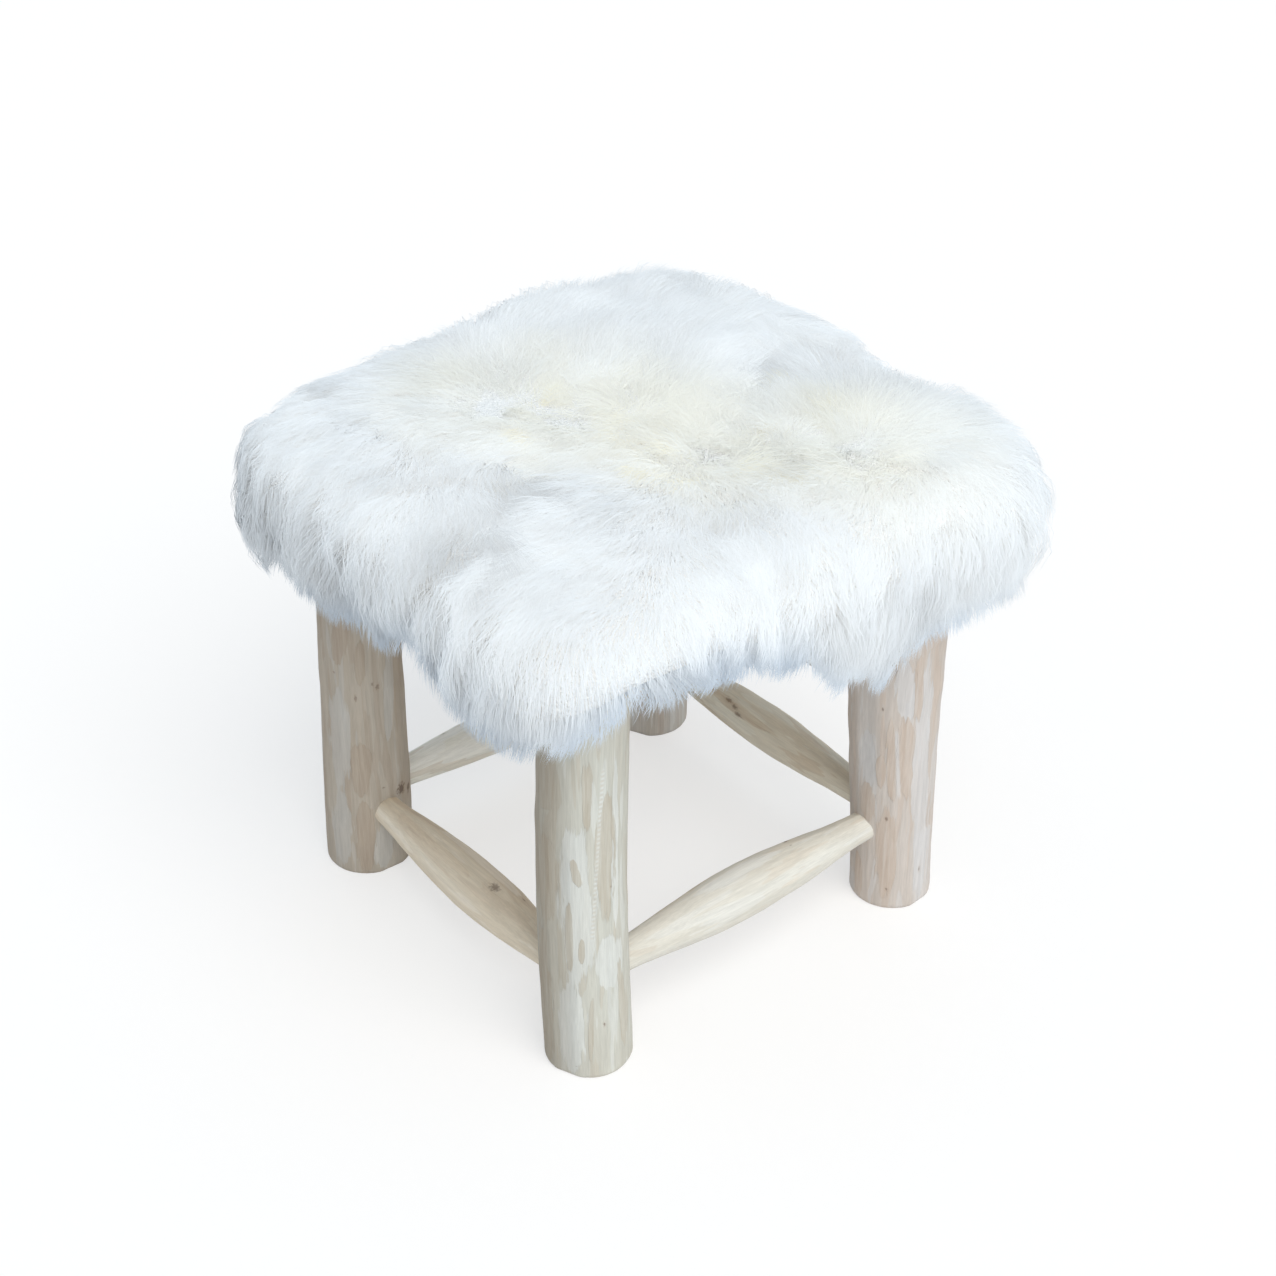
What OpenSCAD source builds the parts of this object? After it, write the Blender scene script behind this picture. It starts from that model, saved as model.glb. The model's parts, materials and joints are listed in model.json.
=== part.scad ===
// Sheepskin stool: four peeled log legs, whittled stretchers let into them,
// a boarded and padded seat, and a sheepskin laid over it with the wool outwards.
// The origin is on the floor, under the middle of the seat. -Y is the front.

/* [Legs] */
// Distance between the axes of two neighbouring legs
leg_spacing = 330; // [290:5:380]
// Length of a leg, from the floor to the seat board
leg_height = 372; // [330:1:460]
// Diameter of the front left leg at half height
leg_dia_front_left = 73.5; // [66:0.5:82]
// Diameter of the front right leg at half height
leg_dia_front_right = 72; // [66:0.5:82]
// Diameter of the back right leg at half height
leg_dia_back_right = 79.5; // [66:0.5:82]
// Diameter of the back left leg at half height
leg_dia_back_left = 73.5; // [66:0.5:82]
// How much a log tapers over its length; the front left one tapers three times as much
leg_taper = 2.5; // [0:0.5:8]
// Extra taper of the back right leg, cut nearer the root
root_taper = 9; // [0:0.5:12]
// Height of the worn edge round the foot
foot_round_height = 6; // [6:1:20]
// Depth of the worn edge round the foot
foot_round_depth = 1.5; // [1:0.5:8]
// Depth of the drawknife's flats in the log
knife_flat = 0.9; // [0.2:0.1:1.5]
// Sideways bow of a leg at half height: three times as much at the front right, and none
// at the back right
leg_bow = 1.5; // [0:0.1:3]
// How far a leg leans out of upright, at most
leg_lean = 7.5; // [0:0.5:10]

/* [Stretchers] */
// Height of the front stretcher's axis
front_stretcher_height = 66; // [50:1:140]
// Height of the right stretcher's axis
right_stretcher_height = 81; // [50:1:140]
// Height of the back stretcher's axis
back_stretcher_height = 81; // [50:1:140]
// Height of the left stretcher's axis
left_stretcher_height = 67; // [50:1:140]
// Diameter of a stretcher's round end
stretcher_end_dia = 27; // [22:0.5:30]
// Diameter of the front and right stretchers at their thickest
stretcher_mid_dia = 46; // [38:1:54]
// How much slimmer the back and left stretchers are
slim_stretchers = 4; // [0:0.5:8]

/* [Top rails] */
// Diameter of a top rail's round end
rail_end_dia = 24; // [18:1:28]
// Diameter of a top rail at its thickest
rail_mid_dia = 34; // [30:1:38]
// Clear height between a top rail and the seat board
rail_drop = 3; // [1:0.5:10]

/* [Joints] */
// Wood left between the leg's axis line and the side of a neighbouring mortise
mortise_wall = 3; // [2:0.5:6]
// Thickness of the glue line round a tenon
glue_line = 0.15; // [0.1:0.05:0.3]
// Gap at the bottom of a mortise
tenon_end_gap = 0.5; // [0.2:0.1:1]

/* [Seat] */
// Thickness of the seat board
board_thickness = 15; // [12:1:22]
// How far the board stands out past the thickest leg
board_margin = 1.5; // [0.5:0.5:6]
// Thickness of the foam at the edge of the seat
foam_edge = 28; // [24:1:50]
// How much higher the foam is in the middle than at the edge
foam_crown = 14; // [4:1:24]
// Radius of the foam's upper edge
foam_round = 16; // [8:1:20]

/* [Sheepskin] */
// Thickness of the pelt
pelt_thickness = 3; // [2:0.5:4]
// How far the pelt hangs below the underside of the board, on average
pelt_hang = 20; // [14:1:40]
// Depth of the wool on top of the seat
wool_top_depth = 37; // [20:1:50]
// Depth of the wool at the sides of the seat
wool_side_depth = 42; // [24:1:56]
// How far the wool's hem hangs below the underside of the board, on average
wool_hang = 54; // [50:1:90]
// Most that the sheepskin's edge falls below its average height
hem_sway = 40; // [0:1:40]
// Depth of the locks along the hem
hem_lock = 9; // [0:1:12]
// Height of the lumps in the wool
wool_lump = 4; // [0:0.5:6]
// Gap between one layer of the seat and the next
layer_gap = 0.3; // [0.2:0.1:0.6]

/* [Fasteners] */
// Diameter of the screws that hold the board on the legs
screw_dia = 6; // [4:0.5:8]
// Length of those screws
screw_length = 70; // [50:5:100]
// Diameter of an upholstery tack's head
tack_head_dia = 8; // [5:0.5:9]
// Length of an upholstery tack's shank
tack_length = 16; // [10:1:20]
// Diameter of an upholstery tack's shank
tack_dia = 2; // [1.4:0.2:3]
// Tacks along each side of the seat
tacks_per_side = 5; // [3:1:7]

/* [Hidden] */

$fn = 48;

// Corners run anticlockwise from the front left, and side k joins corner k to the next.
CORNERS = [[-1, -1], [1, -1], [1, 1], [-1, 1]];
LEG_DIAS = [leg_dia_front_left, leg_dia_front_right, leg_dia_back_right, leg_dia_back_left];
// The front legs stand root end down
LEG_TAPERS = [-3 * leg_taper, -leg_taper, leg_taper + root_taper, leg_taper];
LEG_BOWS = [leg_bow, 3 * leg_bow, 0, leg_bow];
// How far each log's foot and its top stand off their corner, as shares of the lean
LEG_LEANS = [[0, 1], [0.3, 0.1], [0.6, -0.6], [0, 0.3]];
// Bearing that each log bows and leans towards, and the turn of its flats
LEG_BEARINGS = [50, 230, 50, 120];
STRETCHER_HEIGHTS = [
    front_stretcher_height, right_stretcher_height, back_stretcher_height, left_stretcher_height
];
STRETCHER_MIDS = [
    stretcher_mid_dia, stretcher_mid_dia,
    stretcher_mid_dia - slim_stretchers, stretcher_mid_dia - slim_stretchers
];
// Where along each stretcher its thickest point lies
STRETCHER_PEAKS = [0.54, 0.46, 0.5, 0.53];

half_spacing = leg_spacing / 2;
leg_foot_max_r = max([for (k = [0 : 3]) LEG_DIAS[k] / 2 + LEG_BOWS[k]]);
leg_top_max_r = max([for (k = [0 : 3]) LEG_DIAS[k] / 2 + LEG_TAPERS[k] / 2]);
mortise_floor = stretcher_end_dia / 2 + mortise_wall;
rail_floor = rail_end_dia / 2 + mortise_wall;
rail_height = leg_height - rail_drop - rail_mid_dia / 2;

seat_half = half_spacing + leg_top_max_r + board_margin;
seat_round = seat_half - half_spacing;
board_top = leg_height + board_thickness;
foam_top = board_top + foam_edge + foam_crown;

pelt_in = layer_gap;
pelt_out = pelt_in + pelt_thickness;
wool_in = pelt_out + layer_gap;
wool_half = seat_half + wool_in + wool_side_depth;
wool_round = seat_round + 0.75 * wool_side_depth;
wool_wide = board_top;
wool_top = foam_top + wool_in + wool_top_depth;
// Fall of the wool from the middle of a side to a corner of the seat
corner_drop = 4;
// How squarely the wool's crown turns down into its sides
crown_square = 10;
// How far the wool's side draws in from its widest to its hem
hem_in = 40;
// How far under the pelt's edge the middle of the wool's underside lies
wool_underside = 18;
// Share of the fleece's rise and fall that the pelt's edge follows
pelt_share = 0.5;

hole_gap = 0.1;
screw_head_dia = 2 * screw_dia;
tack_head_height = 1.5;

// Points along one straight side and round one corner of a seat outline
SIDE_STEPS = 8;
ARC_STEPS = 7;

// A closed loop of points round a square of half width w with corners of radius r or less
function square_loop(w, r) = [
    for (k = [0 : 3])
        let (a_r = min(r, 0.8 * w), mid = w - a_r)
        each concat(
            [
                for (i = [1 : SIDE_STEPS])
                    turned([w, mid * (2 * i / (SIDE_STEPS + 1) - 1)], 90 * k)
            ],
            [
                for (i = [0 : ARC_STEPS])
                    let (a = 90 * i / ARC_STEPS)
                    turned([mid + a_r * cos(a), mid + a_r * sin(a)], 90 * k)
            ]
        )
];

function turned(p, a) = [p.x * cos(a) - p.y * sin(a), p.x * sin(a) + p.y * cos(a)];
function lifted(loop, z) = [for (p = loop) [p.x, p.y, z]];
function bearing(p) = atan2(p.y, p.x);

function total(points, i = 0) =
    i == len(points) - 1 ? points[i] : points[i] + total(points, i + 1);
function middle(points) = total(points) / len(points);

// A solid skinned over rings of equally many points and closed at both ends
module skinned(rings) {
    n = len(rings[0]);
    last = len(rings) - 1;
    first_mid = (last + 1) * n;
    walls = [
        for (j = [0 : last - 1], i = [0 : n - 1])
            let (a = j * n + i, b = j * n + (i + 1) % n)
            each [[a, a + n, b], [b, a + n, b + n]]
    ];
    ends = [
        for (i = [0 : n - 1])
            let (next = (i + 1) % n)
            each [[first_mid, i, next], [first_mid + 1, last * n + next, last * n + i]]
    ];
    polyhedron(
        points = concat([for (ring = rings) each ring], [middle(rings[0]), middle(rings[last])]),
        faces = concat(walls, ends)
    );
}

// Legs
LEG_FLATS = 12;
// How far the flats wind about a log, and how unevenly they are cut
LOG_WIND = 9;
FLAT_SCATTER = 0.6;
// Share of its height below which a log keeps its width
EVEN_FOOT = 0.18;

// Outline of log k at the share t of its height: flats between blunt ridges
function log_ring(k, t, inset) = [
    for (i = [0 : 2 * LEG_FLATS - 1])
        let (
            a = 180 * i / LEG_FLATS + LEG_BEARINGS[k] + LOG_WIND * sin(140 * t + 50 * k),
            r = LEG_DIAS[k] / 2 + LEG_TAPERS[k] * (max(t, EVEN_FOOT) - 0.5) - inset
                - (i % 2) * knife_flat * (1 + FLAT_SCATTER * sin(97 * i + 260 * t)),
            lean = leg_lean * (LEG_LEANS[k][0] * (1 - t) + LEG_LEANS[k][1] * t),
            off = lean + LEG_BOWS[k] * sin(180 * t)
        )
        [
            CORNERS[k].x * half_spacing + r * cos(a) + off * cos(LEG_BEARINGS[k]),
            CORNERS[k].y * half_spacing + r * sin(a) + off * sin(LEG_BEARINGS[k]),
            t * leg_height
        ]
];

// Height shares of a log's outlines, with how far each stands in from the full width
LOG_STEPS = concat(
    [for (a = [0, 35, 65, 90])
        [foot_round_height / leg_height * sin(a), foot_round_depth * (1 - sin(a)) * cos(a)]],
    [for (t = [0.15 : 0.17 : 1]) [t, 0]]
);

module on_side(k) {
    rotate([0, 0, 90 * k])
        translate([0, -half_spacing, 0])
            children();
}

// A blind hole for the end of a rail: end is -1 where side k starts and 1 where it finishes
module mortise(k, end, height, dia, floor_at) {
    on_side(k)
        translate([end * (half_spacing - floor_at), 0, height])
            rotate([0, -90 * end, 0])
                cylinder(d = dia + 2 * glue_line, h = half_spacing);
}

module leg(k) {
    before = (k + 3) % 4;
    color("#dccdb0")
        difference() {
            skinned([for (s = LOG_STEPS) log_ring(k, s[0], s[1])]);
            mortise(k, -1, STRETCHER_HEIGHTS[k], stretcher_end_dia, mortise_floor);
            mortise(before, 1, STRETCHER_HEIGHTS[before], stretcher_end_dia, mortise_floor);
            mortise(k, -1, rail_height, rail_end_dia, rail_floor);
            mortise(before, 1, rail_height, rail_end_dia, rail_floor);
            translate([CORNERS[k].x * half_spacing, CORNERS[k].y * half_spacing, 0])
                screw_shape(hole_gap);
        }
}

module leg_front_left() leg(0);
module leg_front_right() leg(1);
module leg_back_right() leg(2);
module leg_back_left() leg(3);

// Stretchers and top rails
SWELL_STEPS = 12;

// Radius of a whittled rail at the share u of its swelling, thickest at peak
function swell(u, peak, end_r, mid_r) =
    let (s = u < peak ? u / peak : (1 - u) / (1 - peak))
    end_r + (mid_r - end_r) * pow(sin(90 * s), 1.25);

// A rail along side k, with straight round ends that fill its mortises
module whittled(k, height, end_dia, mid_dia, peak, floor_at, leg_r) {
    reach = half_spacing - floor_at - tenon_end_gap;
    face = half_spacing - leg_r - 1;
    outline = concat(
        [[0, -reach], [end_dia / 2 - 1, -reach], [end_dia / 2, -reach + 1]],
        [
            for (i = [0 : SWELL_STEPS])
                let (u = i / SWELL_STEPS)
                [swell(u, peak, end_dia / 2, mid_dia / 2), face * (2 * u - 1)]
        ],
        [[end_dia / 2, reach - 1], [end_dia / 2 - 1, reach], [0, reach]]
    );
    color("#e3d5b8")
        on_side(k)
            translate([0, 0, height])
                rotate([0, 90, 0])
                    rotate_extrude()
                        polygon(outline);
}

module stretcher(k) {
    whittled(
        k, STRETCHER_HEIGHTS[k], stretcher_end_dia, STRETCHER_MIDS[k], STRETCHER_PEAKS[k],
        mortise_floor, leg_foot_max_r
    );
}

module top_rail(k) {
    whittled(k, rail_height, rail_end_dia, rail_mid_dia, 0.5, rail_floor, leg_top_max_r);
}

module stretcher_front() stretcher(0);
module stretcher_right() stretcher(1);
module stretcher_back() stretcher(2);
module stretcher_left() stretcher(3);
module top_rail_front() top_rail(0);
module top_rail_right() top_rail(1);
module top_rail_back() top_rail(2);
module top_rail_left() top_rail(3);

// A countersunk wood screw, or with a gap the hole that it sits in
module screw_shape(gap) {
    r = screw_dia / 2 + gap;
    head_r = screw_head_dia / 2 + 2 * gap;
    top = board_top + gap;
    tip = board_top - screw_length - gap;
    rotate_extrude()
        polygon([
            [0, tip], [r, tip + screw_dia], [r, top - head_r + r], [head_r, top], [0, top]
        ]);
}

// An upholstery tack along +Y with its head on the plane y = 0, or the hole that it sits in
module tack_shape(gap) {
    head_r = tack_head_dia / 2 + gap;
    r = tack_dia / 2 + gap;
    rotate([-90, 0, 0])
        rotate_extrude()
            polygon([
                [0, -gap], [head_r, -gap], [head_r, tack_head_height + gap],
                [r, tack_head_height + gap], [r, tack_length - tack_dia],
                [0, tack_length + gap]
            ]);
}

module tacks(gap) {
    reach = half_spacing - tack_head_dia;
    for (k = [0 : 3], i = [0 : tacks_per_side - 1])
        rotate([0, 0, 90 * k])
            translate([
                reach * (2 * i / (tacks_per_side - 1) - 1),
                -seat_half - pelt_out,
                leg_height + board_thickness / 2
            ])
                tack_shape(gap);
}

module seat_screws() {
    color("#c9cacc")
        for (c = CORNERS)
            translate([c.x * half_spacing, c.y * half_spacing, 0])
                screw_shape(0);
}

module edge_tacks() {
    color("#b9babb")
        tacks(0);
}

module seat_board() {
    color("#d2b98c")
        difference() {
            translate([0, 0, leg_height])
                linear_extrude(board_thickness)
                    union() {
                        square([2 * seat_half, 2 * half_spacing], center = true);
                        square([2 * half_spacing, 2 * seat_half], center = true);
                        for (c = CORNERS)
                            translate([c.x * half_spacing, c.y * half_spacing])
                                circle(r = seat_round);
                    }
            for (c = CORNERS)
                translate([c.x * half_spacing, c.y * half_spacing, 0])
                    screw_shape(hole_gap);
            tacks(hole_gap);
        }
}

// Layers over the seat
foam_shoulder = board_top + foam_edge;
crown_half = seat_half - foam_round;

// Rings over the top of the padded seat and down to its edge, standing out by the given gap
function cover_rings(out) = concat(
    [
        for (f = [0.2, 0.6, 0.9])
            lifted(
                square_loop(f * crown_half, f * seat_round * 1.6),
                foam_shoulder + foam_crown * (1 - f * f) + out
            )
    ],
    [
        for (a = [20 : 35 : 90])
            lifted(
                square_loop(crown_half + (foam_round + out) * sin(a), seat_round + out),
                foam_shoulder - foam_round + (foam_round + out) * cos(a)
            )
    ]
);

function turned_about(rings) = [for (i = [len(rings) - 1 : -1 : 0]) rings[i]];

// How the sheepskin's edge lies at every 15 degrees of bearing, from -X anticlockwise:
// it falls lowest at the front left and back right corners, and rises between them
EDGE_LIE = [
    0, -0.25, -0.6, -0.9, -0.5, -0.25, 0.05, 0.2, -0.15, 0.72, 0.95, 0.6,
    0, -0.9, -0.6, -1, -0.75, -0.35, 0, 0.25, 0.5, 0.7, 0.5, 0.25
];

// Height of the sheepskin's edge over its average at a bearing from -180 to 180
function edge_rise(b) =
    let (
        step = 360 / len(EDGE_LIE),
        i = floor((b + 180) / step),
        share = (1 - cos(180 * ((b + 180) / step - i))) / 2,
        here = EDGE_LIE[i % len(EDGE_LIE)],
        next = EDGE_LIE[(i + 1) % len(EDGE_LIE)]
    )
    hem_sway * (here + (next - here) * share);

// A ring that follows the edge by a share, at a distance outside the board
function edge_ring(out, round, hang, share) = [
    for (p = square_loop(seat_half + out, seat_round + round))
        [p.x, p.y, leg_height - hang + share * edge_rise(bearing(p))]
];

module foam_pad() {
    color("#e9dfb9")
        skinned(concat(
            [
                lifted(square_loop(seat_half - 1, seat_round), board_top + layer_gap),
                lifted(square_loop(seat_half, seat_round), board_top + foam_edge / 4)
            ],
            turned_about(cover_rings(0))
        ));
}

module sheepskin_pelt() {
    color("#d8c39c")
        difference() {
            skinned(concat(
                cover_rings(pelt_in),
                [
                    edge_ring(pelt_in, pelt_in, pelt_hang, pelt_share),
                    edge_ring(pelt_out, pelt_out, pelt_hang, pelt_share)
                ],
                turned_about(cover_rings(pelt_out))
            ));
            tacks(hole_gap);
        }
}

// Share of the way from the middle of a side, 0, to a corner of the seat, 1
function corner_share(p) = pow(abs(sin(2 * bearing(p))), 3);

// Small swelling of the wool at a bearing and height, alike on all four sides
function lump(b, z) = wool_lump * (sin(12 * b + z) + sin(20 * b - 2 * z)) / 2;

// Tufts that stand out from the fleece, and valleys between them: the bearing, the spread
// in degrees, and the reach outwards and upwards as shares of the wool's depth at the side
TUFTS = [
    [45, 14, 0.1, 0.3], [-45, 22, 0.12, 0], [-8, 12, -0.14, -0.07], [100, 16, 0.05, 0.21],
    [167, 9, 0.05, 0.31], [-150, 12, -0.05, -0.19], [-138, 16, -0.14, 0], [-76, 9, -0.12, 0]
];

// Height of a rounded hump at the share d of its reach
function hump(d) = exp(-d * d);

// How far the fleece stands out and up at a bearing from -180 to 180
function tuft(b) = total([
    for (t = TUFTS)
        let (away = abs(b - t[0]))
        wool_side_depth * hump(min(away, 360 - away) / t[1]) * [t[2], t[3]]
]);

// Dips in the crown of the fleece: x, y and reach as shares of the seat's half width,
// and the depth as a share of the wool's depth
DIPS = [
    [0.17, -0.51, 0.2, 0.35], [0.2, 0.66, 0.17, 0.22], [0.32, -0.87, 0.14, 0.16],
    [0.57, 0.24, 0.14, 0.16]
];
// The line that the wool parts from, as shares of the seat's half width
PARTING = [[-0.4, -0.27], [0.07, 0.03], [0.35, 0.09], [0.66, 0.53]];
PARTING_REACH = 0.17;
PARTING_DEPTH = 0.22;

function off_line(p, a, b) =
    let (along = (p - a) * (b - a) / ((b - a) * (b - a)))
    norm(p - a - (b - a) * max(0, min(1, along)));

// How far the crown dips at a point
function dip(p) =
    let (
        q = p / seat_half,
        parted = min([for (i = [1 : len(PARTING) - 1]) off_line(q, PARTING[i - 1], PARTING[i])])
    )
    wool_top_depth * (
        PARTING_DEPTH * hump(parted / PARTING_REACH)
            + total([for (d = DIPS) d[3] * hump(norm(q - [d.x, d.y]) / d[2])])
    );

// A ring of the wool's crown at the share f of its full half width
function wool_crown_ring(f) = [
    for (p = square_loop(f * wool_half, wool_round + (1 - f) * wool_half / 2))
        let (
            b = bearing(p),
            stand = pow(f, 3) * tuft(b),
            z = wool_wide + (wool_top - wool_wide) * sqrt(1 - pow(f, crown_square))
                - corner_drop * f * f * corner_share(p) + stand.y,
            grow = 1 + (f * lump(b, z) + stand.x) / wool_half
        )
        [p.x * grow, p.y * grow, z - dip(p)]
];

// A ring of the wool's side, from the hem at t = 0 to its widest at t = 1
function wool_side_ring(t) = [
    for (p = square_loop(wool_half - hem_in * (1 - t) * (1 - t), wool_round))
        let (
            b = bearing(p),
            hem = leg_height - wool_hang + edge_rise(b) - hem_lock * sin(16 * b) / 2,
            z = hem + (wool_wide - corner_drop * corner_share(p) + tuft(b).y - hem) * t,
            grow = 1 + (lump(b, z) + tuft(b).x * t) / wool_half
        )
        [p.x * grow, p.y * grow, z]
];

module wool_fleece() {
    color("#f5f4ef")
        skinned(concat(
            cover_rings(wool_in),
            [
                edge_ring(wool_in, wool_in, pelt_hang, pelt_share),
                edge_ring(
                    wool_in + wool_side_depth / 4, wool_side_depth / 4,
                    pelt_hang + wool_underside, (1 + pelt_share) / 2
                )
            ],
            [for (t = [0, 0.2, 0.45, 0.75]) wool_side_ring(t)],
            [for (f = [1, 0.97, 0.9, 0.77, 0.58, 0.38, 0.16]) wool_crown_ring(f)]
        ));
}

leg_front_left();
leg_front_right();
leg_back_right();
leg_back_left();
stretcher_front();
stretcher_right();
stretcher_back();
stretcher_left();
top_rail_front();
top_rail_right();
top_rail_back();
top_rail_left();
seat_board();
foam_pad();
sheepskin_pelt();
wool_fleece();
seat_screws();
edge_tacks();
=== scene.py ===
import json
import math

import bpy
import numpy as np
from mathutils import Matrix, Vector, kdtree
from mathutils.bvhtree import BVHTree


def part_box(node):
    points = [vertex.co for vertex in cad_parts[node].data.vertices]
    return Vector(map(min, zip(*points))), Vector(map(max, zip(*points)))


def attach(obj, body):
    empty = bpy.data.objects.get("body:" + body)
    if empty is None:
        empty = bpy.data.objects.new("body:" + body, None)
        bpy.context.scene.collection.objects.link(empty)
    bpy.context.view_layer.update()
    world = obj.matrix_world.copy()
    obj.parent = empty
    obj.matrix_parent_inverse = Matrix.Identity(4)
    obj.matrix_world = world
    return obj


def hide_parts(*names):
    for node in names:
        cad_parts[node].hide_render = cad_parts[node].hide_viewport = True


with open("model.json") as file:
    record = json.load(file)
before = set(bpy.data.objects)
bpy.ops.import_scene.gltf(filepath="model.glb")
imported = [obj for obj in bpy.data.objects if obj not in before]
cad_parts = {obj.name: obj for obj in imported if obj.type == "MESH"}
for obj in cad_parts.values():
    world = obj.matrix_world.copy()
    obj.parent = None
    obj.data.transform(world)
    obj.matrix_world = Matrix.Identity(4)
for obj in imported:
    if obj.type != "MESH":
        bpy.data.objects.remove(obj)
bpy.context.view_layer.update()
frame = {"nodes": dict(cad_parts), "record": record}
BODY = "root"
MM = 0.001

SIDES = ["front", "right", "back", "left"]
CORNERS = ["front_left", "front_right", "back_right", "back_left"]
FEET = {m["name"]: Vector(m["pos_m"]) for m in frame["record"]["mounts"]}


# Helpers


class Noise:
    """Smooth random values from -1 to 1 over space, the same in every run."""

    CELLS = 32

    def __init__(self, seed):
        size = (self.CELLS,) * 3
        self.grid = np.random.default_rng(seed).uniform(-1, 1, size)

    def at(self, points, grain):
        """One value for each point, with lumps about grain metres across."""
        q = np.atleast_2d(points) / grain + 0.37 * self.CELLS
        cell = np.floor(q).astype(int)
        part = q - cell
        part = part * part * (3 - 2 * part)
        total = np.zeros(len(q))
        for step in np.ndindex(2, 2, 2):
            weight = np.prod(np.where(step, part, 1 - part), axis=1)
            i, j, k = ((cell + step) % self.CELLS).T
            total += weight * self.grid[i, j, k]
        return total


def unit(v):
    return v / np.maximum(np.linalg.norm(v, axis=-1, keepdims=True), 1e-9)


def smooth(x, low=0.0, high=1.0):
    t = np.clip((x - low) / (high - low), 0, 1)
    return t * t * (3 - 2 * t)


def new_object(name, mesh, material, slot, *replaced):
    """A finished piece of the stool that rides on its one body."""
    obj = bpy.data.objects.new(name, mesh)
    bpy.context.collection.objects.link(obj)
    obj.data.materials.append(material)
    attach(obj, BODY)
    if replaced:
        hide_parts(*replaced)
    return obj


def surface_of(node):
    """(points, triangles) of a CAD node, with the points that coincide made one."""
    mesh = frame["nodes"][node].data
    points = np.empty(len(mesh.vertices) * 3)
    mesh.vertices.foreach_get("co", points)
    mesh.calc_loop_triangles()
    tris = np.empty(len(mesh.loop_triangles) * 3, dtype=np.int64)
    mesh.loop_triangles.foreach_get("vertices", tris)
    unique, back = np.unique(points.reshape(-1, 3).round(6), axis=0, return_inverse=True)
    return unique, back.reshape(-1)[tris].reshape(-1, 3)


# Materials


class Shader:
    """A material with a Principled shader, and short ways to add its nodes."""

    def __init__(self, name, **numbers):
        self.material = bpy.data.materials.new(name)
        self.material.use_nodes = True
        self.tree = self.material.node_tree
        self.bsdf = self.tree.nodes["Principled BSDF"]
        for socket, value in numbers.items():
            self.bsdf.inputs[socket.replace("_", " ")].default_value = value

    def put(self, socket, value):
        if isinstance(value, bpy.types.NodeSocket):
            self.tree.links.new(value, socket)
        elif value is not None:
            socket.default_value = value

    def node(self, kind, inputs=(), out=0, **settings):
        """Adds a node, fills its inputs by name or number, and gives one of its outputs."""
        n = self.tree.nodes.new("ShaderNode" + kind)
        for key, value in settings.items():
            setattr(n, key, value)
        for key, value in dict(inputs).items():
            self.put(n.inputs[key], value)
        return n.outputs[out]

    def attribute(self, name, out="Vector"):
        return self.node("Attribute", attribute_name=name, out=out)

    def share(self, name):
        """The attribute of that name, as a number."""
        return self.attribute(name, "Fac")

    def place(self):
        return self.node("TexCoord", out="Object")

    def scaled(self, vector, x, y, z):
        return self.node("Mapping", {"Vector": vector, "Scale": (x, y, z)})

    def noise(self, vector, scale, detail=3.0, rough=0.55, warp=0.0):
        inputs = {
            "Vector": vector, "Scale": scale, "Detail": detail,
            "Roughness": rough, "Distortion": warp,
        }
        return self.node("TexNoise", inputs)

    def math(self, operation, a, b=None, c=None):
        return self.node("Math", {0: a, 1: b, 2: c}, operation=operation)

    def times(self, a, b):
        return self.math("MULTIPLY", a, b)

    def sloped(self, value, slope, start):
        """start plus slope times value."""
        return self.math("MULTIPLY_ADD", value, slope, start)

    def vector(self, operation, a, b=None, c=None, out="Vector"):
        return self.node("VectorMath", {0: a, 1: b, 2: c}, operation=operation, out=out)

    def stretched(self, vector, factor):
        return self.node("VectorMath", {0: vector, "Scale": factor}, operation="SCALE")

    def between(self, value, low, high):
        """Rises smoothly from 0 at low to 1 at high."""
        inputs = {"Value": value, "From Min": low, "From Max": high}
        return self.node("MapRange", inputs, interpolation_type="SMOOTHSTEP")

    def mix(self, share, a, b, blend="MIX"):
        a, b = ((*c, 1.0) if isinstance(c, tuple) else c for c in (a, b))
        inputs = {0: share, 6: a, 7: b}
        return self.node("Mix", inputs, out=2, data_type="RGBA", blend_type=blend)

    def dimmed(self, color, red, green, blue):
        """A colour whose channels are multiplied by these."""
        factors = self.node("CombineColor", {0: red, 1: green, 2: blue})
        return self.mix(1.0, color, factors, "MULTIPLY")

    def bump(self, height, depth):
        """Feeds a height from 0 to 1 to the shader as relief of that depth."""
        inputs = {"Height": height, "Distance": depth, "Strength": 1.0}
        self.put(self.bsdf.inputs["Normal"], self.node("Bump", inputs))

    def finish(self, color, rough=None):
        self.put(self.bsdf.inputs["Base Color"], color)
        self.put(self.bsdf.inputs["Roughness"], rough)
        return self.material


# Painted shade on the side of a log that faces away from the light: what it takes off red, green and
# blue, as shares of that side's shade value
PAINTED_SHADE_LOSS = (1.03, 1.18, 1.30)
KNOT_RING = (0.38, 0.27, 0.19)
KNOT_HEART = (0.15, 0.105, 0.08)
NOTCH_SPACING = 4.2 * MM
PLY_SPACING = 3.2 * MM


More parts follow.
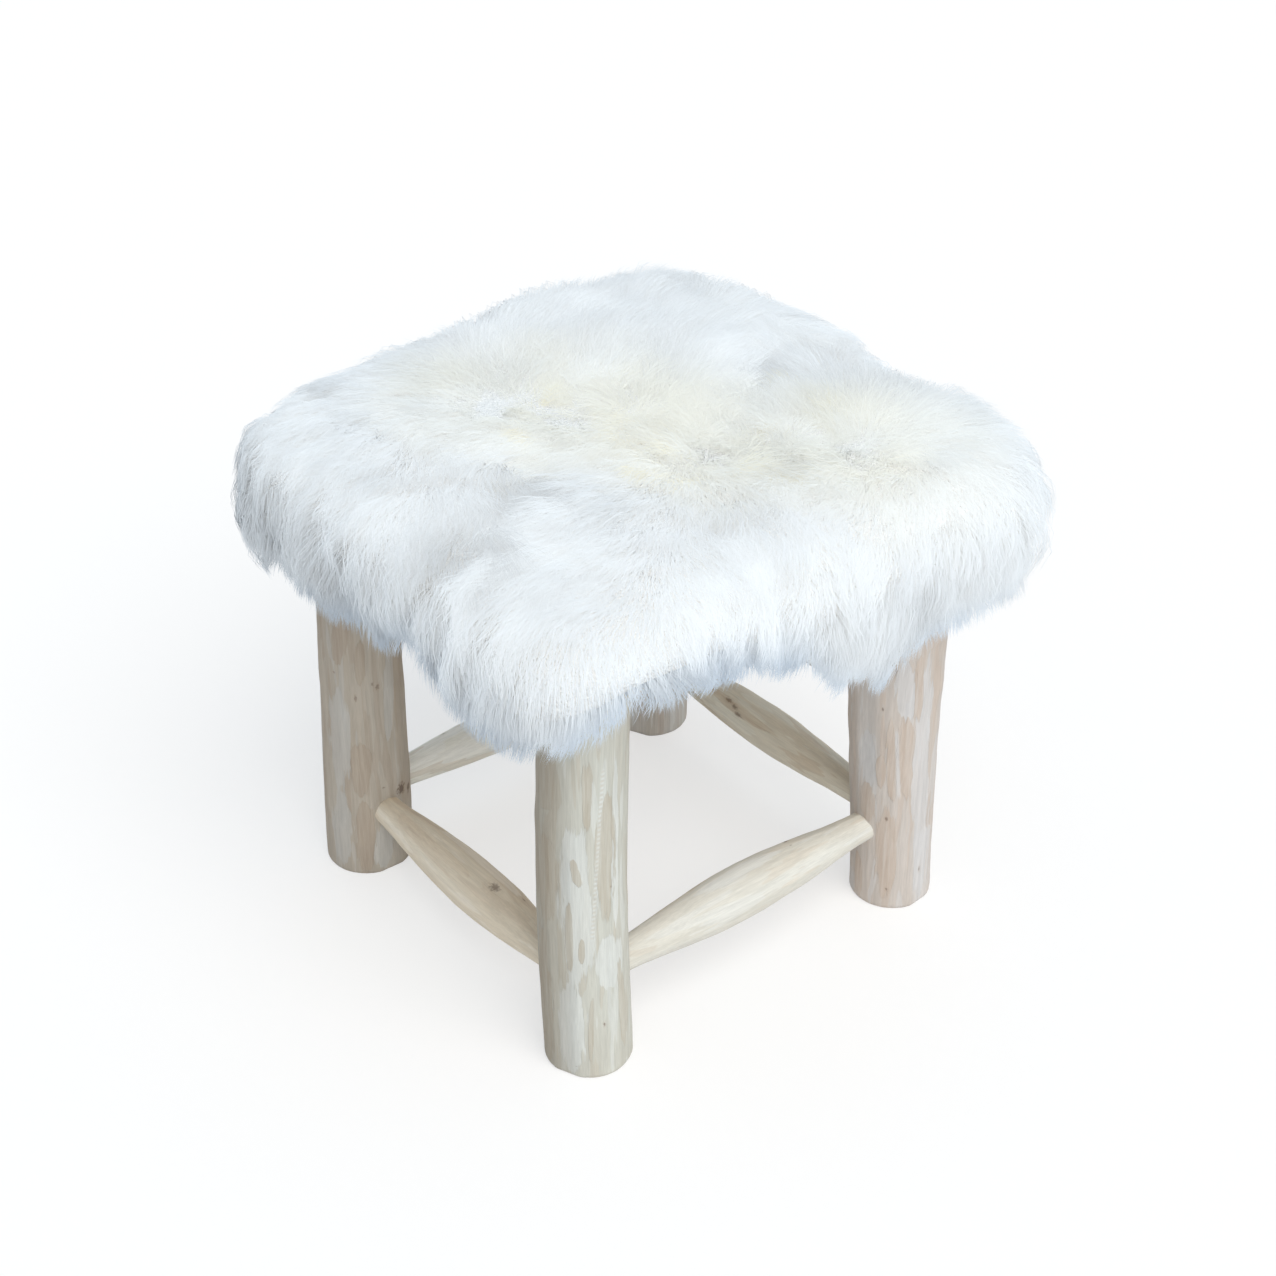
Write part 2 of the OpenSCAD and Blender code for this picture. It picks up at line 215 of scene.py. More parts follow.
def bent_round(s, where, knots):
    """(where, halo, heart): grain that bends round the knots, and the knots' rings and hearts.

    A knot is (place, size, length over width, strength).
    """
    ripple = s.node("TexNoise", {"Vector": where, "Scale": 380.0, "Detail": 2.0}, out="Color")
    ripple = s.vector("SUBTRACT", ripple, (0.5, 0.5, 0.5))
    bent, halos, hearts = where, 0.0, 0.0
    for place, size, long, strength in knots:
        away = s.vector("SUBTRACT", where, place)
        uneven = s.vector("MULTIPLY_ADD", ripple, (2.2 * size,) * 3, away)
        gap = s.vector("LENGTH", s.scaled(uneven, 1, 1, 1 / long), out="Value")
        halo = s.between(gap, size * 2.4, size * 0.4)
        bent = s.vector("ADD", bent, s.stretched(away, s.times(halo, -0.45)))
        ring = s.sloped(s.math("SINE", s.times(gap, 8.0 / size)), 0.3, 0.7)
        halos = s.math("MAXIMUM", halos, s.times(s.times(halo, ring), strength))
        heart = s.between(gap, size * 1.1, size * 0.45)
        hearts = s.math("MAXIMUM", hearts, s.times(heart, strength))
    return bent, halos, hearts


def ridge_share(s, where, ridge):
    """(share, climb): 1 along the line between two places on the wood, and how far up it."""
    (x, y, low), (far_x, far_y, high) = ridge
    slope = ((far_x - x) / (high - low), (far_y - y) / (high - low), 1.0)
    away = s.vector("SUBTRACT", where, (x, y, low))
    climb = s.node("SeparateXYZ", {0: away}, out="Z")
    gap = s.vector("DISTANCE", away, s.stretched(slope, climb), out="Value")
    share = s.between(gap, 2.3 * MM, 0.8 * MM)
    share = s.times(share, s.between(climb, -8 * MM, 0.0))
    return s.times(share, s.between(climb, high - low + 8 * MM, high - low)), climb


def knife_work(s, grain, colors, streak):
    """(colour, bark, bare) of the wood and of the patches that the knife left and cut clean."""
    pale, fawn, patch, clean = colors
    cloud = s.noise(s.scaled(grain, 1, 1, 0.3), 30, detail=3)
    stroke = s.noise(s.scaled(grain, 1, 1, 0.10), 95, detail=2, rough=0.5, warp=0.2)
    torn = s.noise(s.scaled(grain, 1, 1, 0.12), 120, detail=4, rough=0.66)
    torn = s.sloped(torn, 2.8, s.times(streak, 0.9))
    bark = s.between(s.math("ADD", torn, s.share("bark")), 1.80, 2.0)
    bare = s.between(s.math("SUBTRACT", s.share("bare"), torn), -1.86, -1.66)
    tan = s.sloped(s.between(cloud, 0.35, 0.7), 0.35, s.share("facet"))
    color = s.mix(tan, pale, fawn)
    color = s.mix(s.times(s.between(stroke, 0.575, 0.595), 0.40), color, patch)
    color = s.mix(s.times(s.between(stroke, 0.41, 0.39), 0.45), color, clean)
    color = s.mix(s.times(bare, 0.7), color, clean)
    inner = s.mix(s.between(streak, 0.3, 0.7), patch, fawn)
    return s.mix(s.times(bark, 0.85), color, inner), bark, bare


def wood(name, colors, knots=(), ridge=None, beads=0.0, rough=0.8, relief=0.5 * MM):
    """Raw wood with its grain along Z of the attribute called wood.

    The attribute facet is the tone of each knife cut, bark is above 0 in the patches of
    inner bark that the knife has left, and bare is above 0 where it has cut deepest. A
    ridge is a pale line up the wood, with small notches as strong as beads.
    """
    patch, clean = colors[2:]
    s = Shader(name, Specular_IOR_Level=0.25)
    where = s.attribute("wood")
    grain, halo, heart = bent_round(s, where, knots)
    fibre = s.noise(s.scaled(grain, 1, 1, 0.035), 1500, detail=2, rough=0.6)
    streak = s.noise(s.scaled(grain, 1, 1, 0.05), 300, detail=4, rough=0.6, warp=0.2)
    color, bark, bare = knife_work(s, grain, colors, streak)
    tone = s.sloped(s.between(fibre, 0.3, 0.75), 0.10, 0.93)
    tone = s.times(tone, s.sloped(s.between(streak, 0.32, 0.62), 0.10, 0.92))
    # Painted shade on the side of the log that faces away from the light
    painted_side_shade = s.share("painted_side_shade")
    color = s.dimmed(color, *[s.times(tone, s.sloped(painted_side_shade, -k, 1.0)) for k in PAINTED_SHADE_LOSS])
    height = s.sloped(fibre, 0.3, s.times(streak, 0.6))
    height = s.sloped(bark, 0.5, height)
    height = s.sloped(bare, -0.4, height)
    if ridge:
        row, climb = ridge_share(s, where, ridge)
        notch = s.math("SINE", s.times(climb, 2 * math.pi / NOTCH_SPACING))
        notch = s.sloped(notch, 0.5, 0.5)
        color = s.mix(s.times(row, 0.6), color, clean)
        color = s.mix(s.times(s.times(row, notch), beads), color, patch)
        dent = s.sloped(notch, -beads, 0.5)
        height = s.math("ADD", height, s.times(row, dent))
    color = s.mix(s.times(halo, 0.42), color, KNOT_RING)
    color = s.mix(s.times(heart, 0.8), color, KNOT_HEART)
    s.bump(s.sloped(heart, -0.8, height), relief)
    return s.finish(color, s.sloped(bark, -0.1, rough))


def sawn_end():
    """The sawn foot of a log, with its year rings and the saw's strokes."""
    s = Shader("sawn_end", Roughness=0.85, Specular_IOR_Level=0.2)
    where = s.scaled(s.attribute("wood"), 1, 1, 0)
    inputs = {"Vector": where, "Scale": 260.0, "Distortion": 1.2, "Detail": 2.0}
    rings = s.node("TexWave", inputs, out="Fac", wave_type="RINGS", rings_direction="Z")
    strokes = s.noise(s.scaled(where, 1, 0.05, 1), 700, detail=3)
    color = s.mix(s.between(rings, 0.2, 0.9), (0.62, 0.56, 0.46), (0.45, 0.36, 0.25))
    color = s.mix(s.times(s.between(strokes, 0.4, 0.7), 0.35), color, (0.36, 0.30, 0.24))
    s.bump(strokes, 0.4 * MM)
    return s.finish(color)


def plywood():
    """Layers of veneer at the edges and a pale grain over the faces."""
    s = Shader("plywood", Specular_IOR_Level=0.3, Roughness=0.75)
    where = s.place()
    height = s.node("SeparateXYZ", {0: where}, out="Z")
    plies = s.math("SINE", s.times(height, 2 * math.pi / PLY_SPACING))
    grain = s.noise(s.scaled(where, 1, 0.05, 1), 240, detail=4, warp=0.4)
    color = s.mix(s.between(grain, 0.35, 0.7), (0.62, 0.47, 0.28), (0.48, 0.33, 0.18))
    color = s.mix(s.times(s.between(plies, 0.2, 0.6), 0.35), color, (0.33, 0.21, 0.11))
    s.bump(grain, 0.2 * MM)
    return s.finish(color)


def steel(name, tint):
    s = Shader(name, Metallic=1.0)
    where = s.place()
    rub = s.noise(where, 900, detail=4)
    color = s.mix(s.between(rub, 0.35, 0.7), tint, tuple(0.72 * c for c in tint))
    return s.finish(color, s.sloped(rub, 0.3, 0.22))


def foam():
    s = Shader("foam", Roughness=0.95, Specular_IOR_Level=0.1)
    where = s.place()
    cells = s.node("TexVoronoi", {"Vector": where, "Scale": 900.0})
    color = s.mix(s.between(cells, 0.1, 0.6), (0.62, 0.55, 0.33), (0.84, 0.78, 0.55))
    s.bump(cells, 0.6 * MM)
    return s.finish(color)


def suede():
    """The flesh side of the pelt: a cream nap with wrinkles and cloudy stains."""
    s = Shader("suede", Roughness=0.9, Specular_IOR_Level=0.15)
    where = s.place()
    cloud = s.noise(where, 28, detail=5)
    nap = s.noise(where, 2600, detail=2)
    wrinkle = s.noise(where, 190, detail=4, warp=0.8)
    color = s.mix(s.between(cloud, 0.35, 0.7), (0.78, 0.68, 0.50), (0.62, 0.50, 0.34))
    color = s.mix(s.times(nap, 0.3), color, (0.86, 0.78, 0.62))
    s.bump(s.sloped(wrinkle, 0.7, s.times(nap, 0.3)), 0.7 * MM)
    return s.finish(color)


# Painted shade at the hem: what the wool's colour is multiplied by there, darker and bluish
PAINTED_HEM_SHADE = (0.71, 0.78, 0.87)


def wool(name, light, root, cream):
    """Wool fibres: creamy at the root and in the parting, bluish white towards the tip, and darkened
    by painted shade.
    """
    sheen = {"Sheen_Weight": 0.25, "Sheen_Roughness": 0.45}
    s = Shader(name, Roughness=0.62, Specular_IOR_Level=0.3, **sheen)
    # The roots are a little darker as well as creamier, partly as painted shade deep in the wool
    color = s.mix(s.between(s.share("along"), 0.0, 0.75), root, light)
    color = s.mix(s.share("warmth"), color, cream)
    # Each fibre's random tone, times painted shade in the hollows and on the sides away from the sun
    painted_shade = s.times(s.sloped(s.share("tone"), 0.05, 0.95), s.sloped(s.share("painted_shade"), -0.22, 1.0))
    color = s.dimmed(color, painted_shade, painted_shade, painted_shade)
    # Painted shade towards the hem, darker and bluish, where the attribute low is high
    return s.finish(s.mix(s.share("low"), color, PAINTED_HEM_SHADE, "MULTIPLY"))


# Wood pieces


def fitted_circle(x, y):
    """(centre x, centre y, radius) of the circle through most of these points."""
    kept = np.ones(len(x), dtype=bool)
    for _ in range(3):
        rows = np.stack([2 * x, 2 * y, np.ones(len(x))], axis=1)[kept]
        a, b, c = np.linalg.lstsq(rows, (x**2 + y**2)[kept], rcond=None)[0]
        radius = math.sqrt(c + a * a + b * b)
        miss = np.abs(np.hypot(x - a, y - b) - radius)
        kept = miss <= max(1.5 * MM, np.median(miss))
    return a, b, radius


def centre_line(node, origin, axis, side, other, stations, rays=36):
    """Centres and radii of a CAD rail or log at distances along its axis."""
    tree = BVHTree.FromPolygons(*[a.tolist() for a in surface_of(node)])
    turns = np.linspace(0, 2 * math.pi, rays, endpoint=False)
    outs = np.cos(turns)[:, None] * side + np.sin(turns)[:, None] * other
    centres, radii = [], []
    for station in stations:
        base = origin + axis * station
        hits = [tree.ray_cast(Vector(base + out * 0.1), Vector(-out))[0] for out in outs]
        hits = np.array([hit for hit in hits if hit]) - base
        a, b, radius = fitted_circle(hits @ side, hits @ other)
        centres.append(a * side + b * other)
        radii.append(radius)
    return np.array(centres), np.array(radii)


def hewn(radius, angles, heights, cuts, blunt):
    """(radii, tones) of wood whose surface is the deepest of many flat cuts with blunt ridges."""
    grid = np.repeat(radius[:, None], len(angles), axis=1)
    total = np.ones_like(grid)
    tones = np.full_like(grid, 0.5)
    for bearing, low, high, depth, feather, tone in cuts:
        turn = np.angle(np.exp(1j * (angles - bearing)))
        reach = smooth(heights, low - feather, low + feather)
        reach = reach * (1 - smooth(heights, high - feather, high + feather))
        plane = radius - depth * (2 * reach - 1)
        chord = plane[:, None] / np.maximum(np.cos(turn), 0.3)[None, :]
        weight = np.exp(-(chord - grid) / blunt)
        total = total + weight
        tones = tones + weight * tone
    return grid - blunt * np.log(total), tones / total


def patch_field(radius, angles, heights, patches):
    """Above 0 inside long patches.

    A patch is its bearing at the low and at the high end, both ends and its half width.
    """
    field = np.full((len(heights), len(angles)), -1.5)
    for first, last, low, high, half in patches:
        along = 2 * (heights - low) / (high - low) - 1
        bearing = np.radians(first + (last - first) * np.clip(along / 2 + 0.5, 0, 1))
        turn = np.angle(np.exp(1j * (angles[None] - bearing[:, None])))
        across = np.abs(turn) * radius[:, None] / half
        inside = 1 - across**1.4 - np.minimum(np.abs(along[:, None]) ** 3, 2.5)
        field = np.maximum(field, np.maximum(inside, -1.5))
    return field


class Timber:
    """A hewn log or whittled rail along an axis from its origin.

    It follows the CAD solid's centre line, and sways off it by that vector towards its end.
    """

    def __init__(self, name, node, origin, axis, length, seed, sway=(0, 0, 0), ring=160, rows=190):
        self.name, self.seed = name, seed
        self.rng, self.noise = np.random.default_rng(seed), Noise(seed)
        self.origin, self.axis = np.array(origin), np.array(axis, dtype=float)
        up = [0.0, 0.0, 1.0]
        self.side = np.array([1.0, 0.0, 0.0]) if self.axis[2] else np.cross(up, self.axis)
        self.other = np.cross(self.axis, self.side)
        self.ring, self.rows, self.length = ring, rows, length
        self.heights = np.linspace(0, length, rows)
        self.angles = np.linspace(0, 2 * math.pi, ring, endpoint=False)
        near = np.clip(self.heights, 0.02 * length, 0.98 * length)
        probe = np.linspace(near[0], near[-1], 25)
        frame_of = (self.origin, self.axis, self.side, self.other)
        shifts, radii = centre_line(node, *frame_of, probe)
        self.radius = np.interp(near, probe, radii)
        shifts = np.stack([np.interp(near, probe, shift) for shift in shifts.T], axis=1)
        swayed = smooth(self.heights, 0, 0.6 * length)[:, None] * np.array(sway)
        self.centres = self.origin + self.heights[:, None] * self.axis + shifts + swayed

    def cut(self, count, depth):
        """Random flat cuts of the knife, most of them longer than they are wide."""
        rng, cuts = self.rng, []
        for i in range(count):
            low = rng.uniform(-0.3, 0.9) * self.length
            high = low + rng.uniform(0.3, 0.9) * self.length
            bearing = 2 * math.pi * (i / count * 3 % 1 + rng.uniform(-0.5, 0.5) / count)
            feather = rng.uniform(6, 25) * MM
            cuts.append((bearing, low, high, rng.uniform(0.3, 1.0) * depth, feather, rng.random()))
        self.body, self.tones = hewn(self.radius, self.angles, self.heights, cuts, 0.25 * MM)

    def around(self, radii):
        """Points at these radii round the centre line, as (rows, ring, 3)."""
        out = np.cos(self.angles)[:, None] * self.side + np.sin(self.angles)[:, None] * self.other
        return self.centres[:, None] + out[None] * radii[..., None]

    def roughen(self, fibre, lumps, ends):
        """Adds fibres and lumps of those heights, and rounds the two ends by those depths."""
        flat = self.around(self.body).reshape(-1, 3)
        squeezed = flat - (flat @ self.axis)[:, None] * self.axis * 0.94
        self.body += fibre * self.noise.at(squeezed, 1.6 * MM).reshape(self.body.shape)
        self.body += lumps * self.noise.at(flat, 22 * MM).reshape(self.body.shape)
        for side_of, worn in zip((self.heights, self.length - self.heights), ends):
            if worn:
                rim = np.clip(1 - side_of / (2.2 * worn), 0, 1)
                self.body -= (worn * (1 - np.sqrt(1 - rim**2 * 0.98)))[:, None]

    def grain(self, points):
        """Places in the timber's own axes, with a stretch of grain of its own."""
        local = points - self.origin
        own = np.stack([local @ self.side, local @ self.other, local @ self.axis], axis=-1)
        return own + [0, 0, 0.7 * (self.seed % 50)]

    def spot(self, bearing, height):
        """The grain place on the surface at a bearing in degrees and a height."""
        row = int(round(height / self.length * (self.rows - 1)))
        column = int(round(bearing % 360 / 360 * self.ring)) % self.ring
        points = self.around(self.body)
        return tuple(float(v) for v in self.grain(points[row, column]))

    def mesh(self, bark, bare, painted_side_shade=(0, 0.0)):
        """The timber with its patches, and painted shade darker by that share on the side at that
        bearing.
        """
        points = self.around(self.body).reshape(-1, 3)
        ring, rows = self.ring, self.rows
        quads = []
        for j in range(rows - 1):
            for i in range(ring):
                a, b = j * ring + i, j * ring + (i + 1) % ring
                quads.append((a, b, b + ring, a + ring))
        caps = [tuple(range(ring))[::-1], tuple(range((rows - 1) * ring, rows * ring))]
        mesh = bpy.data.meshes.new(self.name)
        mesh.from_pydata(points.tolist(), [], quads + caps)
        mesh.polygons.foreach_set("use_smooth", [True] * len(quads) + [False] * 2)
        mesh.polygons.foreach_set("material_index", [0] * len(quads) + [1] * 2)
        layer = mesh.attributes.new("wood", "FLOAT_VECTOR", "POINT")
        layer.data.foreach_set("vector", self.grain(points).ravel())
        fields = {"facet": self.tones}
        for key, patches in (("bark", bark), ("bare", bare)):
            fields[key] = patch_field(self.radius, self.angles, self.heights, patches)
        # Painted shade on the side at that bearing, away from the light
        facing = np.cos(self.angles - math.radians(painted_side_shade[0]))
        fields["painted_side_shade"] = np.tile(painted_side_shade[1] * smooth(facing, 0.2, 1.0), rows)
        for key, values in fields.items():
            layer = mesh.attributes.new(key, "FLOAT", "POINT")
            layer.data.foreach_set("value", values.ravel())
        mesh.update()
        return mesh


# Each log's pale wood, darker wood, inner bark and clean cut wood; the bearing of the side where
# it has painted shade, away from the light, and how much darker that is; its patches of bark and
# of clean wood, with their bearing at the low and the high end, both ends and half width in mm;
# its knots, with bearing, height, size in mm, length over width and strength; its ridge, with
# bearing and height in mm of both ends, and how strongly that is notched; and how far the log
# sways off the CAD solid, in mm
LOGS = {
    "front_left": dict(
        colors=((0.53, 0.48, 0.41), (0.44, 0.37, 0.295), (0.42, 0.335, 0.26), (0.54, 0.515, 0.475)),
        painted_side_shade=(-112, 0.16),
        bark=[
            (-65, -57, 222, 275, 9), (-40, -37, 88, 145, 10), (-37, -36, 3, 80, 9),
            (-33, -30, 205, 250, 5), (150, 160, 60, 180, 9),
        ],
        bare=[
            (-73, -67, 87, 201, 13), (-71, -73, 8, 90, 12), (2, 14, 142, 232, 5),
            (-12, -8, 5, 54, 11),
        ],
        knots=[
            (20, 83, 5.0, 1.5, 1.0), (40, 75, 4.0, 1.6, 0.9), (-41, 191, 1.3, 3.0, 0.6),
            (-9, 198, 2.2, 1.3, 0.6), (-15, 202, 1.6, 1.2, 0.5), (-75, 213, 1.8, 0.6, 0.45),
            (-8, 92, 1.5, 0.6, 0.5),
        ],
    ),
    "front_right": dict(
        colors=((0.60, 0.60, 0.54), (0.53, 0.50, 0.43), (0.50, 0.44, 0.35), (0.68, 0.685, 0.65)),
        painted_side_shade=(-115, 0.30),
        bark=[
            (-5, -5, 152, 280, 9), (-90, -86, 155, 240, 12), (-91, -91, 262, 312, 11),
            (-39, -48, 196, 225, 3.6), (-54, -54, 108, 182, 3.4), (-39, -38, 122, 147, 2.6),
            (-31, -33, 250, 320, 4), (-35, -28, 12, 88, 2.2), (-104, -100, 4, 150, 10),
            (16, 14, 20, 120, 4),
        ],
        bare=[
            (-47, -42, 96, 258, 15), (10, 8, 140, 316, 3.5), (-59, -55, 4, 98, 13),
            (-2, 0, 90, 145, 12), (100, 110, 60, 240, 12),
        ],
        knots=[(-14, 56, 1.1, 2.0, 0.8), (3, 190, 0.8, 1.6, 0.6), (-54, 12, 1.0, 0.35, 0.5)],
        ridge=(-24, 149, -11, 299), beads=0.45,
    ),
    "back_right": dict(
        colors=((0.61, 0.565, 0.53), (0.555, 0.48, 0.42), (0.56, 0.445, 0.36), (0.63, 0.61, 0.60)),
        bark=[
            (-14, -18, 198, 272, 4.8), (-25, -30, 122, 212, 7), (-59, -59, 132, 168, 4.5),
            (-44, -49, 118, 209, 4.2), (-80, -78, 90, 134, 9), (-51, -54, 8, 118, 9),
            (-93, -100, 4, 52, 6),
        ],
        bare=[
            (-27, -34, 204, 266, 10), (6, -5, 0, 268, 11), (-78, -80, 128, 190, 8.5),
            (90, 95, 40, 200, 11),
        ],
        knots=[
            (-58, 216, 1.0, 2.2, 0.7), (-52, 101, 1.2, 2.2, 0.7), (-50, 22, 1.5, 1.3, 0.6),
            (3, 37, 1.0, 3.0, 0.6), (-45, 255, 1.0, 7.0, 0.55),
        ],
        ridge=(-37, 127, -41, 191), sway=(-2.6, -3.2, 0),
    ),
    "back_left": dict(
        colors=((0.64, 0.60, 0.56), (0.535, 0.475, 0.405), (0.555, 0.45, 0.37), (0.72, 0.70, 0.66)),
        bark=[
            (-60, -56, 20, 160, 9), (10, 14, 90, 220, 8), (100, 96, 60, 190, 9),
            (180, 184, 120, 260, 8),
        ],
        bare=[(-20, -24, 40, 210, 10), (60, 66, 100, 260, 9), (140, 136, 30, 170, 11)],
        knots=[(140, 210, 2.4, 1.6, 0.8), (60, 120, 1.4, 2.0, 0.7)],
    ),
}
# The same for each stretcher, with the places along it measured from its middle
STRETCHERS = {
    "front": dict(
        colors=((0.74, 0.65, 0.52), (0.66, 0.56, 0.43), (0.60, 0.48, 0.36), (0.78, 0.70, 0.59)),
        bark=[(120, 120, -90, 20, 5)], bare=[(60, 60, -60, 60, 6)],
        knots=[(96, 38, 4.2, 1.4, 0.8), (60, 62, 1.2, 2.0, 0.6)],
    ),
    "right": dict(
        colors=((0.72, 0.70, 0.64), (0.66, 0.62, 0.54), (0.64, 0.56, 0.46), (0.74, 0.73, 0.69)),
        bark=[(130, 130, -110, -20, 4)], bare=[(90, 90, -60, 40, 7)],
        knots=[(122, 51, 2.8, 1.2, 0.85), (95, 49, 0.8, 1.5, 0.5)],
    ),
    "back": dict(
        colors=((0.78, 0.725, 0.61), (0.67, 0.585, 0.46), (0.55, 0.42, 0.295), (0.82, 0.78, 0.67)),
        bark=[(140, 140, -60, 40, 4)],
        knots=[(130, -35, 2.0, 2.6, 0.8), (138, -25, 2.0, 2.2, 0.8), (149, -16, 2.0, 2.6, 0.8)],
    ),
    # The left stretcher is pale peeled wood made lighter still, as painted light against the fleece's
    # shade on it
    "left": dict(
        colors=((0.94, 0.92, 0.86), (0.87, 0.84, 0.75), (0.67, 0.57, 0.45), (0.95, 0.94, 0.90)),
        bark=[(100, 100, 20, 90, 4)],
        knots=[(117, -75, 1.8, 1.6, 0.8)],
    ),
}
RAIL_LOOK = dict(
    colors=((0.70, 0.65, 0.54), (0.60, 0.53, 0.41), (0.55, 0.45, 0.33), (0.74, 0.70, 0.61)),
)


def in_metres(patches):
    """Patches given in mm, turned into metres, with their bearings in degrees as before."""
    return [(a, b, low * MM, high * MM, half * MM) for a, b, low, high, half in patches]


def build_legs():
    end = sawn_end()
    for k, corner in enumerate(CORNERS):
        node, look = "leg_" + corner, LOGS[corner]
        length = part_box(node)[1].z
        sway = [component * MM for component in look.get("sway", (0, 0, 0))]
        log = Timber("log_" + corner, node, FEET["foot_" + corner], (0, 0, 1), length, 11 + k, sway)
        log.cut(15, 2.0 * MM)
        log.roughen(0.16 * MM, 0.45 * MM, (1.5 * MM, 0))
        knots = [(log.spot(b, h * MM), size * MM, *rest) for b, h, size, *rest in look["knots"]]
        ridge = look.get("ridge")
        if ridge:
            bearing, low, high_bearing, high = ridge
            ridge = (log.spot(bearing, low * MM), log.spot(high_bearing, high * MM))
        # The side of the log with painted shade, and how dark it is
        beads, painted_side_shade = look.get("beads", 0.0), look.get("painted_side_shade", (0, 0.0))
        material = wood("peeled_log_" + corner, look["colors"], knots, ridge, beads)
        mesh = log.mesh(in_metres(look["bark"]), in_metres(look["bare"]), painted_side_shade)
        obj = new_object("log_" + corner, mesh, material, "peeled_log", node)
        obj.data.materials.append(end)


def own_turn(bearing, k):
    """The turn about the axis of rail k of a bearing seen from its start."""
    return 180 - bearing if k % 2 else bearing


def rail_patches(patches, k, half):
    """Patches of rail k in metres, with their ends measured from its start."""
    return in_metres([
        (own_turn(a, k), own_turn(b, k), half + start, half + stop, width)
        for a, b, start, stop, width in patches
    ])


def build_rail(node, k, cuts, look):
    """A whittled rail, along X at the front and back and along Y at the other two sides."""
    low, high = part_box(node)
    axis = Vector((1, 0, 0)) if k % 2 == 0 else Vector((0, 1, 0))
    length = (high - low).dot(axis)
    start = (low + high) / 2 - axis * length / 2
    name = "whittled_" + node
    rail = Timber(name, node, start, axis, length, 31 + 4 * k + cuts, ring=96, rows=150)
    rail.cut(cuts, 0.8 * MM)
    rail.roughen(0.10 * MM, 0.35 * MM, (1 * MM, 1 * MM))
    half = length / 2 / MM
    knots = [
        (rail.spot(own_turn(b, k), (half + along) * MM), size * MM, *rest)
        for b, along, size, *rest in look.get("knots", [])
    ]
    material = wood(name, look["colors"], knots, rough=0.72, relief=0.35 * MM)
    patches = [rail_patches(look.get(key, []), k, half) for key in ("bark", "bare")]
    obj = new_object(name, rail.mesh(*patches), material, "whittled_wood", node)
    obj.data.materials.append(material)


def build_rails():
    for k, side in enumerate(SIDES):
        build_rail("stretcher_" + side, k, 16, STRETCHERS[side])
        build_rail("top_rail_" + side, k, 12, RAIL_LOOK)


# The seat under the wool


def coat_mesh(name, points, tris):
    """A smooth mesh of these points and triangles."""
    mesh = bpy.data.meshes.new(name)
    mesh.from_pydata(points.tolist(), [], tris.tolist())
    mesh.polygons.foreach_set("use_smooth", [True] * len(tris))
    mesh.update()
    return mesh


def build_cushion():
    mesh = coat_mesh("foam_cushion", *surface_of("foam_pad"))
    pad = new_object("foam_cushion", mesh, foam(), "foam", "foam_pad")


def dress_hardware():
    for node, material in (
        ("seat_board", plywood()),
        ("seat_screws", steel("zinc_screws", (0.62, 0.62, 0.64))),
        ("edge_tacks", steel("steel_tacks", (0.55, 0.55, 0.56))),
    ):
        materials = frame["nodes"][node].data.materials
        materials.clear()
        materials.append(material)


# The wool

# The line over the crown that the wool parts from, in plan
PARTING = np.array([[-0.085, -0.057], [0.014, 0.006], [0.075, 0.020], [0.141, 0.112]])
# How far from the parting the wool still has a yellow tinge
CREAM_REACH = 105 * MM
# Where the wool is pressed down: x, y and reach in metres, and how far it is pressed
HOLLOWS = [
    (0.036, -0.108, 0.040, 0.38),
    (0.043, 0.139, 0.035, 0.25),
    (0.068, -0.185, 0.030, 0.22),
    (0.120, 0.050, 0.030, 0.18),
]
# Usual distance from the skin to the outside of the wool
WOOL_DEPTH = 38 * MM
DOWN = np.array([0.0, 0.0, -1.0])
LOCK_COUNT = 3000
# How far the locks and the single strands stray from the lie of the wool, in radians
LOCK_STRAY, STRAND_STRAY = 0.22, 0.26
# The share of the strands that keep to no lock
LOOSE = 0.08
# Painted shade in the hollows: how fast it darkens the wool with how far the wool is pressed down
HOLLOW_PAINTED_SHADE = 3.2
# Heights above the hem where the painted shade of the hem is strongest and where it ends and the wool
# is white
HEM_SHADE = (0, 58 * MM)
# How much higher than the CAD fleece's edge the locks end, by their bearing in degrees, in mm
HEM_LIFT = [
    (-150, 4), (-135, 0), (-115, 8), (-105, 12), (-95, 8), (-85, 14), (-76, 30), (-65, 14), (-58, 12),
    (-54, 5), (-49, -4), (-45, 4), (-41, 17), (-37, 30), (-25, 24), (-15, 19), (-7, 14), (-2, -1),
    (5, -15), (10, -12), (16, 0), (25, 14), (35, 13), (45, 2), (52, -8), (60, -12), (75, 0), (180, 6),
]
# How far above the hem the coat is moved with it
HEM_ZONE = 85 * MM
# How much higher the dense undercoat ends, so that the locks hide its edge
UNDERCOAT_RISE = 12 * MM
# The share of the fleece's depth that the undercoat fills
UNDERCOAT_SHARE = 0.66
# Wool that grows this near above the hem reaches down to it
HEM_REACH = 95 * MM
# How much further out than elsewhere the wool stands, by its bearing in degrees, in mm
FULLNESS = [
    (-180, -8), (-150, -13), (-130, -12), (-110, -5), (-100, -1), (-60, 0), (10, 0), (25, 0), (38, -1),
    (48, 5), (56, 4), (62, -6), (75, -10), (90, -4), (105, 0), (125, 0), (145, -3), (160, -4),
]
# Painted shade on the sides that face away from the sun, besides that in the hollows, by their bearing
# in degrees
SIDE_PAINTED_SHADE = [
    (-180, 0.1), (-150, 0.3), (-130, 0.35), (-118, 0.6), (-110, 0.45), (-100, 0.55), (-85, 0.5),
    (-73, 0.05), (-62, 0), (110, 0.1), (135, 0.35), (155, 0.2),
]
# Where the wool was combed aside: x, y and reach in mm, the bearing it lies towards and how firmly
COMBED = [(-40, 240, 80, -12, 1.6), (50, 240, 70, -6, 1.6)]
